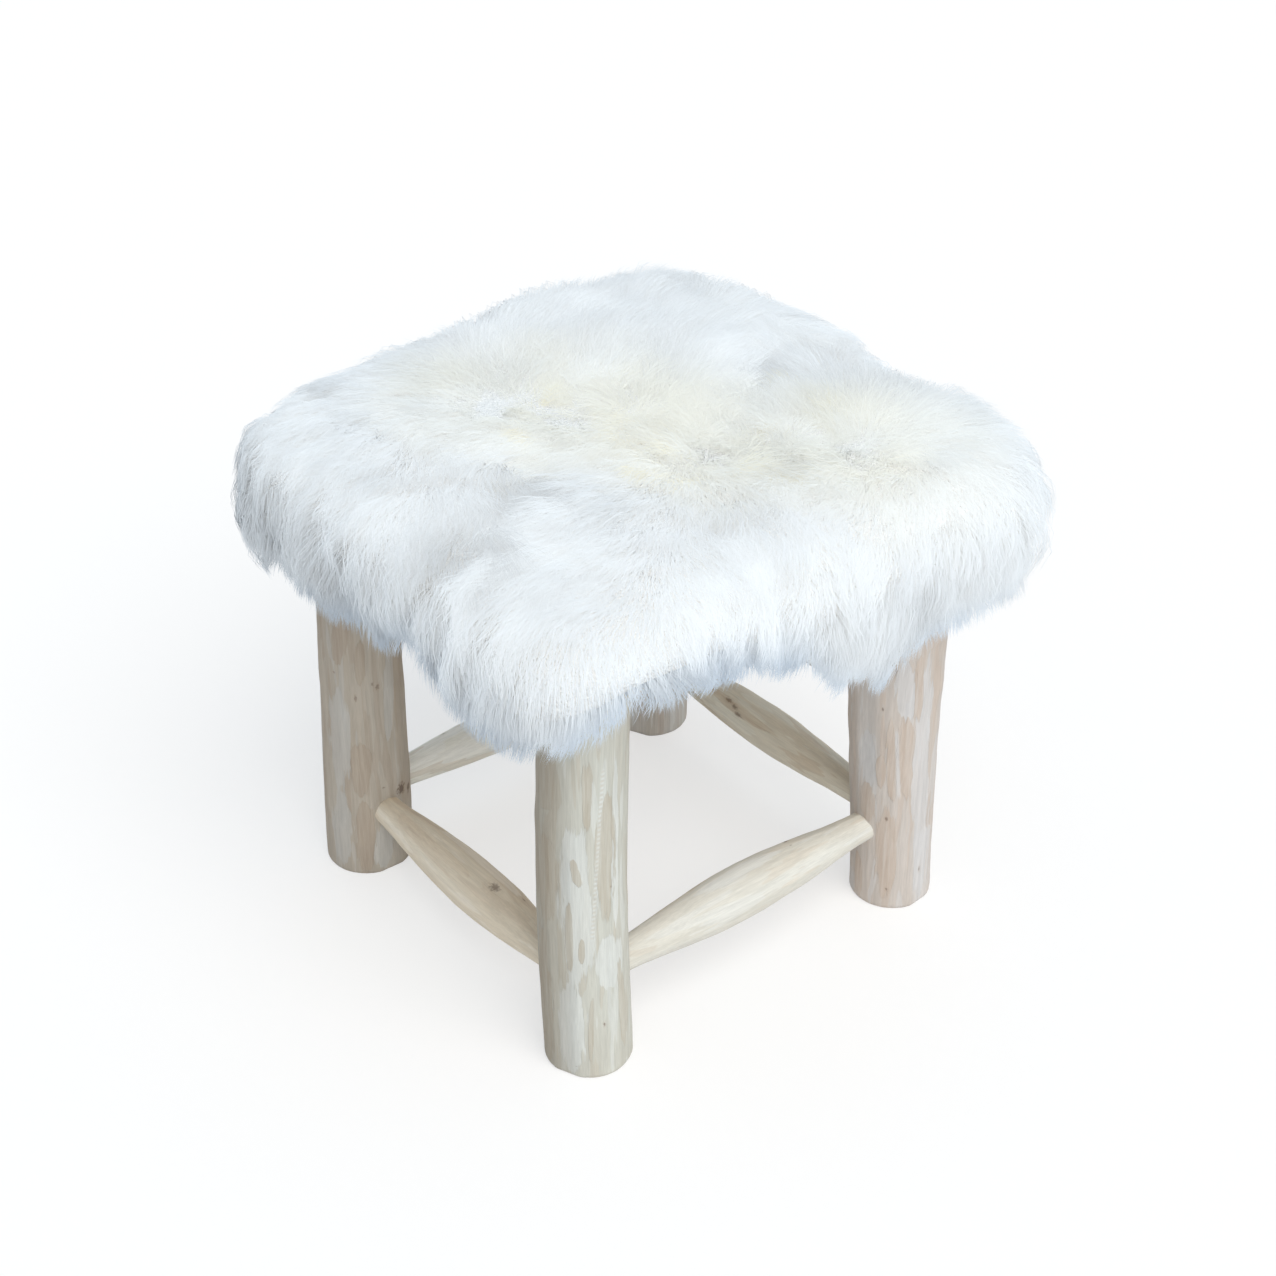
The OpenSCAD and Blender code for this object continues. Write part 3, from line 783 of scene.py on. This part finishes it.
# Dabs of yellower wool in the parting, x and y in mm
DABS = [
    (35, -6), (-20, -66), (-58, -37), (78, -38), (112, 14), (97, 66), (64, 128), (112, 122), (70, 0),
    (137, 38), (-5, -20), (96, -20),
]


def bearings_of(points):
    return np.arctan2(points[..., 1], points[..., 0])


def by_bearing(table, points):
    """Values read off a table of bearings in degrees and values."""
    bearings, values = np.array(table).T
    return np.interp(np.degrees(bearings_of(points)), bearings, values, period=360)


def plan_distance(places, x, y):
    return np.hypot(places[:, 0] - x, places[:, 1] - y)


def steepness(normals):
    """0 where the skin faces up and 1 where it is upright."""
    return 1 - np.clip(normals[:, 2], 0, 1)


class Hem:
    """The wool's lower edge, which runs above or below the CAD fleece's edge."""

    SECTORS = 36

    def __init__(self):
        points, _ = surface_of("wool_fleece")
        self.middles = (np.arange(self.SECTORS) + 0.5) * 2 * math.pi / self.SECTORS - math.pi
        sector = ((bearings_of(points) / math.pi + 1) * self.SECTORS / 2).astype(int)
        self.lowest = np.array([points[sector == k, 2].min() for k in range(self.SECTORS)])

    def cad_edge(self, points):
        """Height of the CAD fleece's edge at the bearings of these points."""
        return np.interp(bearings_of(points), self.middles, self.lowest, period=2 * math.pi)

    def above(self, points):
        """Height of these points above the wool's edge on their side."""
        return points[..., 2] - self.cad_edge(points) - MM * by_bearing(HEM_LIFT, points)

    def drawn(self, points, rise=0.0):
        """These points of the coat, moved up or down with its edge and up by a rise as well."""
        points = points.copy()
        low = 1 - smooth(points[..., 2] - self.cad_edge(points), 0, HEM_ZONE)
        points[..., 2] += low * (MM * by_bearing(HEM_LIFT, points) + rise)
        return points


def outer_skin(hem):
    """(points, triangles, normals, areas) of the pelt's outer face."""
    points, tris = surface_of("sheepskin_pelt")
    points = hem.drawn(points)
    a, b, c = (points[tris[:, i]] for i in range(3))
    cross = np.cross(b - a, c - a)
    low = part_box("sheepskin_pelt")[0]
    heart = np.array([0, 0, low.z])
    outward = np.einsum("ij,ij->i", unit(cross), unit((a + b + c) / 3 - heart)) > 0.15
    tris, cross = tris[outward], cross[outward]
    normals = np.zeros_like(points)
    for i in range(3):
        np.add.at(normals, tris[:, i], cross)
    return points, tris, unit(normals), np.linalg.norm(cross, axis=1)


def scatter(skin, count, rng):
    """Roots spread evenly over the skin: (places, normals)."""
    points, tris, normals, areas = skin
    pick = rng.choice(len(tris), size=count, p=areas / areas.sum())
    u, v = rng.random((2, count))
    flip = u + v > 1
    u[flip], v[flip] = 1 - u[flip], 1 - v[flip]
    weights = np.stack([1 - u - v, u, v], axis=1)[..., None]
    corners = tris[pick]
    return (points[corners] * weights).sum(axis=1), unit((normals[corners] * weights).sum(axis=1))


def from_parting(places):
    """(direction, distance) over the floor plan from the line where the wool parts."""
    best = np.full(len(places), np.inf)
    gaps = np.zeros((len(places), 2))
    for a, b in zip(PARTING[:-1], PARTING[1:]):
        along = np.clip((places[:, :2] - a) @ (b - a) / ((b - a) @ (b - a)), 0, 1)
        gap = places[:, :2] - (a + along[:, None] * (b - a))
        far = np.linalg.norm(gap, axis=1)
        nearer = far < best
        best[nearer], gaps[nearer] = far[nearer], gap[nearer]
    flat = np.concatenate([gaps, np.zeros((len(gaps), 1))], axis=1)
    return unit(flat), best


def hollow_at(places):
    """How far the wool is pressed down, from 0 to 1."""
    pressed = np.zeros(len(places))
    for x, y, reach, depth in HOLLOWS:
        far = plan_distance(places, x, y)
        pressed = np.maximum(pressed, depth * (1 - smooth(far / reach, 0.2, 1.3)))
    return pressed


def turned(vectors, axes, angles):
    """Vectors turned about unit axes."""
    c, s = np.cos(angles)[:, None], np.sin(angles)[:, None]
    along = np.einsum("ij,ij->i", axes, vectors)[:, None]
    return vectors * c + np.cross(axes, vectors) * s + axes * along * (1 - c)


class Fleece:
    """Where the wool grows, how deep it is and which way it lies."""

    def __init__(self):
        self.hem = Hem()
        self.skin = outer_skin(self.hem)
        self.swirl, self.ruffle, self.mood = Noise(71), Noise(72), Noise(73)
        self.tufts = [Noise(74), Noise(75), Noise(76)]
        points, tris = surface_of("wool_fleece")
        self.form = BVHTree.FromPolygons(self.hem.drawn(points).tolist(), tris.tolist())

    def depth(self, places, normals):
        """Distance from the skin to the outside of the CAD fleece."""
        depths = np.full(len(places), WOOL_DEPTH)
        start = places + normals * 3 * MM
        for i, (p, n) in enumerate(zip(start, normals)):
            hit = self.form.ray_cast(Vector(p), Vector(n), 0.08)[0]
            if hit:
                depths[i] = np.linalg.norm(np.array(hit) - places[i])
        return depths

    def fluff(self, places):
        """How the soft tufts turn the wool's face away from its general form."""
        turns = []
        for noise in self.tufts:
            turns.append(noise.at(places, 26 * MM) + 0.6 * noise.at(places + 0.4, 11 * MM))
        return 0.27 * np.stack(turns, axis=1)

    def form_normals(self, points):
        """Outward normals of the CAD fleece near these points, evened over its facets."""
        offsets = 12 * MM * np.concatenate([np.zeros((1, 3)), np.eye(3), -np.eye(3)])
        found = [[self.form.find_nearest(Vector(p + o))[1] for o in offsets] for p in points]
        return unit(np.array(found).mean(axis=1))

    def outside(self, points):
        """(how far these points stand proud of the CAD fleece, and its normals there)."""
        proud = np.empty(len(points))
        normals = np.empty((len(points), 3))
        for i, p in enumerate(points):
            near, normal, _, far = self.form.find_nearest(p)
            proud[i] = math.copysign(far, (Vector(p) - near).dot(normal))
            normals[i] = normal
        return proud, normals

    def combed(self, strands, allowance):
        """Strands pressed down along the CAD fleece where they would stand too far out."""
        strands = strands.copy()
        for j in range(1, strands.shape[1]):
            proud, normals = self.outside(strands[:, j])
            over = np.maximum(proud - allowance, 0) * (normals[:, 2] > -0.5)
            strands[:, j:] -= (over[:, None] * normals)[:, None]
        return strands

    def drawn_up(self, strands, clear):
        """Strands that would end less than that far above the hem, with their fall shortened."""
        heights = self.hem.above(strands)
        fall = np.maximum(heights[:, 0] - heights.min(axis=1), 1 * MM)
        room = np.maximum(heights[:, 0] - clear, 4 * MM)
        share = np.minimum(room / fall, 1.0)[:, None]
        strands = strands.copy()
        strands[..., 2] = strands[:, :1, 2] + (strands[..., 2] - strands[:, :1, 2]) * share
        return strands

    def trimmed(self, strands, allowance):
        """Strands cut back to where they would stand further out than is allowed."""
        count, rings = strands.shape[:2]
        proud = np.full((count, rings), -1.0)
        for j in range(1, rings):
            proud[:, j] = self.outside(strands[:, j])[0]
        over = proud > allowance[:, None]
        first = np.where(over.any(axis=1), over.argmax(axis=1), rings - 1)
        row = np.arange(count)
        a, b = proud[row, first - 1], proud[row, first]
        part = np.where(over.any(axis=1), (allowance - a) / np.maximum(b - a, 1e-6), 1.0)
        cut = (first - 1 + np.clip(part, 0, 1)) / (rings - 1)
        t = np.linspace(0, 1, rings)[None] * cut[:, None] * (rings - 1)
        low = np.minimum(t.astype(int), rings - 2)
        part = (t - low)[..., None]
        return strands[row[:, None], low] * (1 - part) + strands[row[:, None], low + 1] * part

    def lie(self, places, normals, stray, rng):
        """(which way the wool lies along the skin, how far away the parting is)."""
        radial, far = from_parting(places)
        pull = 0.6 * radial + DOWN
        for x, y, reach, bearing, firmness in COMBED:
            away = plan_distance(places, x * MM, y * MM)
            turn = math.radians(bearing)
            aside = np.array([math.cos(turn), math.sin(turn), 0.0])
            pull = pull + firmness * (1 - smooth(away / (reach * MM), 0.4, 1.0))[:, None] * aside
        lie = unit(pull - normals * np.einsum("ij,ij->i", pull, normals)[:, None])
        loose = 1.0 + 1.6 * (1 - smooth(far, 10 * MM, 90 * MM))
        angle = 0.7 * self.swirl.at(places, 80 * MM) + 0.55 * self.ruffle.at(places, 24 * MM)
        angle = angle + 2.2 * hollow_at(places) + stray * loose * rng.normal(size=len(places))
        tangle = 1 - smooth(far, 5 * MM, 50 * MM)
        angle = angle + 3.2 * tangle * self.ruffle.at(places + 0.2, 26 * MM)
        return turned(lie, normals, angle), far

    def grow(self, places, normals, depths, lengths, stray, rng, segments):
        """Strands as (count, segments + 1, 3) points: out of the skin, along the lie, down."""
        lie, far = self.lie(places, normals, stray, rng)
        lean = 0.35 + 0.65 * smooth(far, 0.0, 80 * MM)
        lean = lean * (1 + 0.4 * self.ruffle.at(places + 0.5, 30 * MM))
        sag = 0.85 * steepness(normals)
        spot = places.copy()
        stations = [spot]
        for j in range(segments):
            s = (j + 0.5) / segments
            rise = (0.06 + 1.25 * (1 - s) ** 1.4) * normals
            drift = (0.2 + 1.1 * s) * lean[:, None] * lie
            fall = (0.1 + sag)[:, None] * s * DOWN
            spot = spot + unit(rise + drift + fall) * (lengths / segments)[:, None]
            stations.append(spot)
        strands = np.stack(stations, axis=1)
        height = np.einsum("ijk,ik->ij", strands - places[:, None], normals)
        stretch = depths / np.maximum(height.max(axis=1), 5 * MM)
        change = height * (np.clip(stretch, 0.5, 1.6) - 1)[:, None]
        return strands + change[..., None] * normals[:, None]


def fibre_points(strands, shading, widths):
    """Corners of three-sided fibres that end in a point, and the normals that the light sees."""
    count, rings = strands.shape[:2]
    s = np.linspace(0, 1, rings)
    tangent = unit(np.gradient(strands, axis=1))
    root, tip = (n[:, None] for n in shading)
    soft = unit(root * (1 - s[None, :, None]) + tip * s[None, :, None])
    side = unit(np.cross(tangent, soft))
    face = np.cross(side, tangent)
    taper = (0.8 + 0.4 * np.sin(math.pi * s)) * np.sqrt(1 - s**3)
    half = (widths[:, None] * taper / 2)[:, :-1, None]
    edges, shades = [], []
    for k in range(3):
        a = math.pi / 2 + 2 * math.pi * k / 3
        out = (side * math.cos(a) + face * math.sin(a))[:, :-1]
        edges.append(strands[:, :-1] + out * half)
        shades.append(unit(soft[:, :-1] + 0.3 * out))
    return [
        np.concatenate([np.stack(rows, axis=2).reshape(count, -1, 3), tips[:, -1:]], axis=1)
        for rows, tips in ((edges, strands), (shades, soft))
    ]


def fibre_faces(count, rings):
    """(corners, sizes) of the faces of fibres with that many rings, the last one a point."""
    per = 3 * (rings - 1) + 1
    corners = [0, 1, 2]
    for j in range(rings - 2):
        for k in range(3):
            a, b = 3 * j + k, 3 * j + (k + 1) % 3
            corners += [b, a, a + 3, b + 3]
    for k in range(3):
        corners += [per - 4 + (k + 1) % 3, per - 4 + k, per - 1]
    corners = (np.array(corners)[None] + per * np.arange(count)[:, None]).ravel()
    return corners, np.tile([3] + [4] * (3 * (rings - 2)) + [3] * 3, count)


def strand_mesh(name, strands, shading, widths, values):
    """One mesh of closed three-sided fibres, with named values for each fibre.

    shading holds the normals at the root and at the tip that the light sees, because the
    fibres together make one soft surface.
    """
    count, rings = strands.shape[:2]
    points, normals = (a.reshape(-1, 3) for a in fibre_points(strands, shading, widths))
    corners, sizes = fibre_faces(count, rings)
    mesh = bpy.data.meshes.new(name)
    mesh.vertices.add(len(points))
    mesh.vertices.foreach_set("co", points.astype(np.float32).ravel())
    mesh.loops.add(len(corners))
    mesh.loops.foreach_set("vertex_index", corners.astype(np.int32))
    mesh.polygons.add(len(sizes))
    starts = np.concatenate([[0], np.cumsum(sizes)[:-1]])
    mesh.polygons.foreach_set("loop_start", starts.astype(np.int32))
    mesh.polygons.foreach_set("use_smooth", np.ones(len(sizes), dtype=bool))
    mesh.update()
    along = np.tile(np.linspace(0, 1, rings), (count, 1))
    for key, value in {**values, "along": along}.items():
        if value.ndim == 1:
            value = np.repeat(value[:, None], rings, axis=1)
        value = np.concatenate([np.repeat(value[:, :-1], 3, axis=1), value[:, -1:]], axis=1)
        layer = mesh.attributes.new(key, "FLOAT", "POINT")
        layer.data.foreach_set("value", value.astype(np.float32).ravel())
    mesh.normals_split_custom_set_from_vertices(normals.tolist())
    return mesh


class Locks:
    """Where the locks grow that the strands gather into."""

    def __init__(self, fleece, count, rng):
        self.places, self.normals = scatter(fleece.skin, count, rng)
        depths = fleece.depth(self.places, self.normals)
        swell = 0.10 * fleece.mood.at(self.places, 30 * MM)
        self.depths = depths * (1 + swell + 0.06 * rng.normal(size=count))
        self.tree = kdtree.KDTree(count)
        for i, p in enumerate(self.places):
            self.tree.insert(p, i)
        self.tree.balance()

    def nearest(self, places):
        """The number of the lock that each of these places belongs to."""
        return np.array([self.tree.find(p)[1] for p in places])

    def lengths(self, fleece, length):
        """How long each lock is; those near the hem reach down to it."""
        lengths = np.full(len(self.places), length) * (0.6 + 0.4 * self.depths / WOOL_DEPTH)
        lengths *= 1 + 0.45 * steepness(self.normals)
        lengths *= 1 + 0.12 * fleece.mood.at(self.places, 60 * MM)
        drop = fleece.hem.above(self.places)
        return np.where(drop < HEM_REACH, np.maximum(lengths, 1.08 * drop), lengths)


def shares(strands):
    """How far along its strand each point is, from 0 to 1."""
    return np.linspace(0, 1, strands.shape[1])[None, :, None]


def keeping(fleece, places, normals, rng):
    """How closely each strand keeps to its lock; a few are loose."""
    close = 0.42 + 0.25 * steepness(normals) + 0.3 * fleece.mood.at(places, 40 * MM)
    close = close * rng.uniform(0.4, 1.1, len(places))
    close[rng.random(len(places)) < LOOSE] = 0.0
    return np.clip(close, 0, 0.9)


def gathered(strands, leads, close):
    """Strands drawn together round the strand that leads their lock, most at the tips."""
    s = shares(strands)
    goal = leads + (strands[:, :1] - leads[:, :1]) * (1 - 0.7 * s)
    return strands + (goal - strands) * close[:, None, None] * smooth(s)


def waved(strands, normals, rng):
    """Strands with two sideways waves that grow towards the tips."""
    s, count = shares(strands), len(strands)
    for turn, side in ((9.0, [0.3, 0.5, 0.8]), (6.5, [0.9, -0.3, 0.2])):
        start = rng.uniform(0, 2 * math.pi, count)[:, None]
        size = rng.uniform(0.2, 1.8, count)[:, None, None] * MM
        wave = np.sin(turn * s[..., 0] + start)[..., None] * s * size
        strands = strands + wave * unit(np.cross(normals, side))[:, None]
    return strands


def fitted(fleece, locks, strands, owner, rng):
    """Strands kept to the fleece's form and hem, lock by lock and none quite like the next."""
    count = len(strands)
    spread = 3.5 + 3.0 * steepness(locks.normals)
    lock_proud = 2.0 + spread * np.random.default_rng(6).normal(size=len(locks.places))
    proud = np.clip(lock_proud[owner] + rng.normal(0, 2.0, count), -6, 14) * MM
    proud += MM * by_bearing(FULLNESS, strands[:, 0])
    lock_clear = np.random.default_rng(10).normal(4.0, 7.0, len(locks.places))
    clear = np.clip(lock_clear[owner] + rng.normal(0, 2.5, count), -8, 22) * MM
    strands = fleece.drawn_up(fleece.combed(strands, proud), clear)
    return fleece.trimmed(strands, proud + 1 * MM)


def tip_normals(fleece, leads, owner, places, normals, crown, rng):
    """The normals that the light sees at the tips: those of the form, turned by tufts."""
    tips = fleece.form_normals(leads[:, -2])[owner] + 0.25 * normals
    tips[:, 2] += 0.5 * crown
    tips[:, 2] = np.maximum(tips[:, 2], -0.15)
    return unit(unit(tips) + fleece.fluff(places) + rng.normal(scale=0.10, size=tips.shape))


def cream_at(fleece, places, crown):
    """How yellow the wool is, which it is along the parting."""
    _, far = from_parting(places)
    cream = 0.6 * crown * (1 - smooth(far, 12 * MM, CREAM_REACH))
    cream = cream * np.clip(0.85 + 0.5 * fleece.mood.at(places, 34 * MM), 0, 1)
    for x, y in DABS:
        away = plan_distance(places, x * MM, y * MM)
        cream = np.maximum(cream, 0.95 * crown * (1 - smooth(away, 2 * MM, 14 * MM)))
    return cream


def painted_shade_at(places, crown):
    """Painted shade on the wool, which it has in the hollows and on the sides that face away from the
    sun.
    """
    painted_shade = np.clip(hollow_at(places) * HOLLOW_PAINTED_SHADE, 0, 1)
    return np.clip(painted_shade + (1 - crown) * by_bearing(SIDE_PAINTED_SHADE, places), 0, 1)


def wool_layer(fleece, locks, name, count, pieces, length, reach, width, segments, seed, colors):
    """A layer of wool whose strands are that long and reach that share of the depth."""
    material = wool(name, *colors)
    rng = np.random.default_rng(seed)
    lengths = locks.lengths(fleece, length)
    leads = fleece.grow(
        locks.places, locks.normals, locks.depths * reach[1], lengths, LOCK_STRAY,
        np.random.default_rng(5), segments,
    )
    places, normals = scatter(fleece.skin, count, rng)
    owner = locks.nearest(places)
    depths = locks.depths[owner] * rng.uniform(*reach, count)
    lengths = lengths[owner] * rng.uniform(0.8, 1.08, count)
    strands = fleece.grow(places, normals, depths, lengths, STRAND_STRAY, rng, segments)
    strands = gathered(strands, leads[owner], keeping(fleece, places, normals, rng))
    strands = fitted(fleece, locks, waved(strands, normals, rng), owner, rng)

    widths = rng.uniform(*width, count)
    crown = smooth(normals[:, 2], 0.5, 0.95)
    tips = tip_normals(fleece, leads, owner, places, normals, crown, rng)
    cream, painted_shade = cream_at(fleece, places, crown), painted_shade_at(places, crown)
    # Painted shade near the hem (the attribute low), stronger in some locks than in others
    hem_shade_strength = np.random.default_rng(12).uniform(0.7, 1.15, len(locks.places))[owner]
    made = []
    for k, own in enumerate(np.array_split(np.argsort(bearings_of(places)), pieces)):
        low = hem_shade_strength[own][:, None] * (1 - smooth(fleece.hem.above(strands[own]), *HEM_SHADE))
        values = {"tone": rng.random(len(own)), "warmth": cream[own], "painted_shade": painted_shade[own]}
        values["low"] = np.clip(low, 0, 1)
        shading = (normals[own], tips[own])
        mesh = strand_mesh(f"{name}_{k + 1}", strands[own], shading, widths[own], values)
        made.append(new_object(f"{name}_{k + 1}", mesh, material, "wool", "wool_fleece"))
    return made


# The two layers of strands: reach is the share of the wool's depth that they fill, and the
# colours are those of the wool, of its roots and of its yellower parts
UNDERWOOL = dict(
    name="underwool", count=24000, pieces=2, length=46 * MM, reach=(0.45, 0.8),
    width=(0.7 * MM, 1.1 * MM), segments=3, seed=8,
    colors=((0.88, 0.915, 0.945), (0.87, 0.885, 0.89), (0.91, 0.88, 0.77)),
)
WOOL = dict(
    name="wool", count=160000, pieces=18, length=62 * MM, reach=(0.72, 0.98),
    width=(0.32 * MM, 0.56 * MM), segments=4, seed=9,
    colors=((0.90, 0.94, 0.975), (0.90, 0.92, 0.935), (0.93, 0.91, 0.77)),
)


def build_wool():
    fleece = Fleece()
    locks = Locks(fleece, LOCK_COUNT, np.random.default_rng(7))
    strands = wool_layer(fleece, locks, **UNDERWOOL) + wool_layer(fleece, locks, **WOOL)
    for piece in strands:
        piece.visible_shadow = False
    return strands


def build_pelt():
    points, tris = surface_of("sheepskin_pelt")
    mesh = coat_mesh("pelt", Hem().drawn(points), tris)
    return new_object("pelt", mesh, suede(), "tanned_skin", "sheepskin_pelt")


def build_undercoat():
    """The dense wool near the skin: a lumpy coat at part of the fleece's depth."""
    points, tris = surface_of("wool_fleece")
    skin_points, skin_tris = surface_of("sheepskin_pelt")
    skin = BVHTree.FromPolygons(skin_points.tolist(), skin_tris.tolist())
    near = np.array([skin.find_nearest(p)[0] for p in points])
    gap = np.linalg.norm(points - near, axis=1)
    share = np.where(gap > 2 * MM, UNDERCOAT_SHARE, 1.0)[:, None]
    moved = Hem().drawn(near + (points - near) * share, UNDERCOAT_RISE)
    mesh = coat_mesh("wool_undercoat", moved, tris)
    s = Shader("undercoat", Roughness=0.9, Specular_IOR_Level=0.1)
    fluff = s.noise(s.place(), 420, detail=5)
    color = s.mix(s.between(fluff, 0.35, 0.7), (0.92, 0.925, 0.92), (0.955, 0.96, 0.96))
    s.bump(fluff, 3 * MM)
    return new_object("wool_undercoat", mesh, s.finish(color), "wool", "wool_fleece")


# Camera, floor and light

# The photograph's width and the lens that it was taken with, both in its pixels
PHOTO_SIZE = 1276
FOCAL_PIXELS = 2169.7
SENSOR = 36.0
# Where the camera stands round the place that it looks at, in degrees and metres
CAMERA_AZIMUTH = 51.208
CAMERA_ELEVATION = 33.434
CAMERA_DISTANCE = 1.8231
CAMERA_TARGET = Vector((0.00759, 0.00960, 0.24536))
# Strength and colour of the sky and the sun, the sun's place and how broad it is, in degrees
SKY = 0.675
SKY_COLOR = (0.775, 0.893, 1.0)
SUN = 2.11
SUN_COLOR = (1.0, 0.975, 0.93)
SUN_AZIMUTH = 82
SUN_ELEVATION = 52
SUN_SPREAD = 50
FLOOR_SIZE = 24.0
# Share of plain white in the floor as the camera sees it
FLOOR_WHITE = 0.55


def heading(azimuth, elevation):
    """Unit vector from the stool towards a place at that azimuth and elevation."""
    a, e = math.radians(azimuth), math.radians(elevation)
    return Vector((math.sin(a) * math.cos(e), -math.cos(a) * math.cos(e), math.sin(e)))


def build_camera():
    data = bpy.data.cameras.new("camera")
    data.sensor_width = SENSOR
    data.lens = FOCAL_PIXELS / PHOTO_SIZE * SENSOR
    camera = bpy.data.objects.new("camera", data)
    bpy.context.collection.objects.link(camera)
    back = heading(CAMERA_AZIMUTH, CAMERA_ELEVATION)
    camera.location = CAMERA_TARGET + back * CAMERA_DISTANCE
    camera.rotation_euler = (-back).to_track_quat("-Z", "Y").to_euler()
    bpy.context.scene.camera = camera


def build_sky():
    """Even daylight from a pale sky, which the camera sees as plain white."""
    scene = bpy.context.scene
    scene.world = bpy.data.worlds.new("studio")
    scene.world.use_nodes = True
    tree = scene.world.node_tree
    sky = tree.nodes["Background"]
    sky.inputs["Color"].default_value = (*SKY_COLOR, 1.0)
    sky.inputs["Strength"].default_value = SKY
    white = tree.nodes.new("ShaderNodeBackground")
    white.inputs["Strength"].default_value = 1.0
    white.inputs["Color"].default_value = (1, 1, 1, 1)
    rays = tree.nodes.new("ShaderNodeLightPath")
    seen = tree.nodes.new("ShaderNodeMath")
    seen.operation = "MAXIMUM"
    tree.links.new(rays.outputs["Is Camera Ray"], seen.inputs[0])
    tree.links.new(rays.outputs["Is Glossy Ray"], seen.inputs[1])
    mix = tree.nodes.new("ShaderNodeMixShader")
    tree.links.new(seen.outputs[0], mix.inputs[0])
    tree.links.new(sky.outputs[0], mix.inputs[1])
    tree.links.new(white.outputs[0], mix.inputs[2])
    tree.links.new(mix.outputs[0], tree.nodes["World Output"].inputs[0])


def build_sun():
    """A broad soft sun from the right."""
    data = bpy.data.lights.new("sun", "SUN")
    data.energy, data.angle, data.color = SUN, math.radians(SUN_SPREAD), SUN_COLOR
    light = bpy.data.objects.new("sun", data)
    bpy.context.collection.objects.link(light)
    away = -heading(SUN_AZIMUTH, SUN_ELEVATION)
    light.rotation_euler = away.to_track_quat("-Z", "Y").to_euler()


def build_floor():
    """A white floor that keeps the stool's soft shadow."""
    mesh = bpy.data.meshes.new("floor")
    half = FLOOR_SIZE / 2
    corners = [(-half, -half, 0), (half, -half, 0), (half, half, 0), (-half, half, 0)]
    mesh.from_pydata(corners, [], [(0, 1, 2, 3)])
    floor = bpy.data.objects.new("floor", mesh)
    bpy.context.collection.objects.link(floor)
    s = Shader("floor", Roughness=0.9, Specular_IOR_Level=0.1)
    material = s.finish((0.95, 0.925, 0.905, 1.0))
    seen = s.node("LightPath", out="Is Camera Ray")
    glow = s.node("Emission", {"Color": (1, 1, 1, 1), "Strength": 1.0})
    white = s.node("MixShader", {0: s.times(seen, FLOOR_WHITE), 1: s.bsdf.outputs[0], 2: glow})
    s.put(s.tree.nodes["Material Output"].inputs["Surface"], white)
    floor.data.materials.append(material)


build_camera()
build_sky()
build_sun()
build_floor()
build_legs()
build_rails()
dress_hardware()
build_cushion()
skin_piece = build_pelt()
wool_pieces = [build_undercoat(), *build_wool()]

bpy.context.scene.view_settings.view_transform = "Standard"
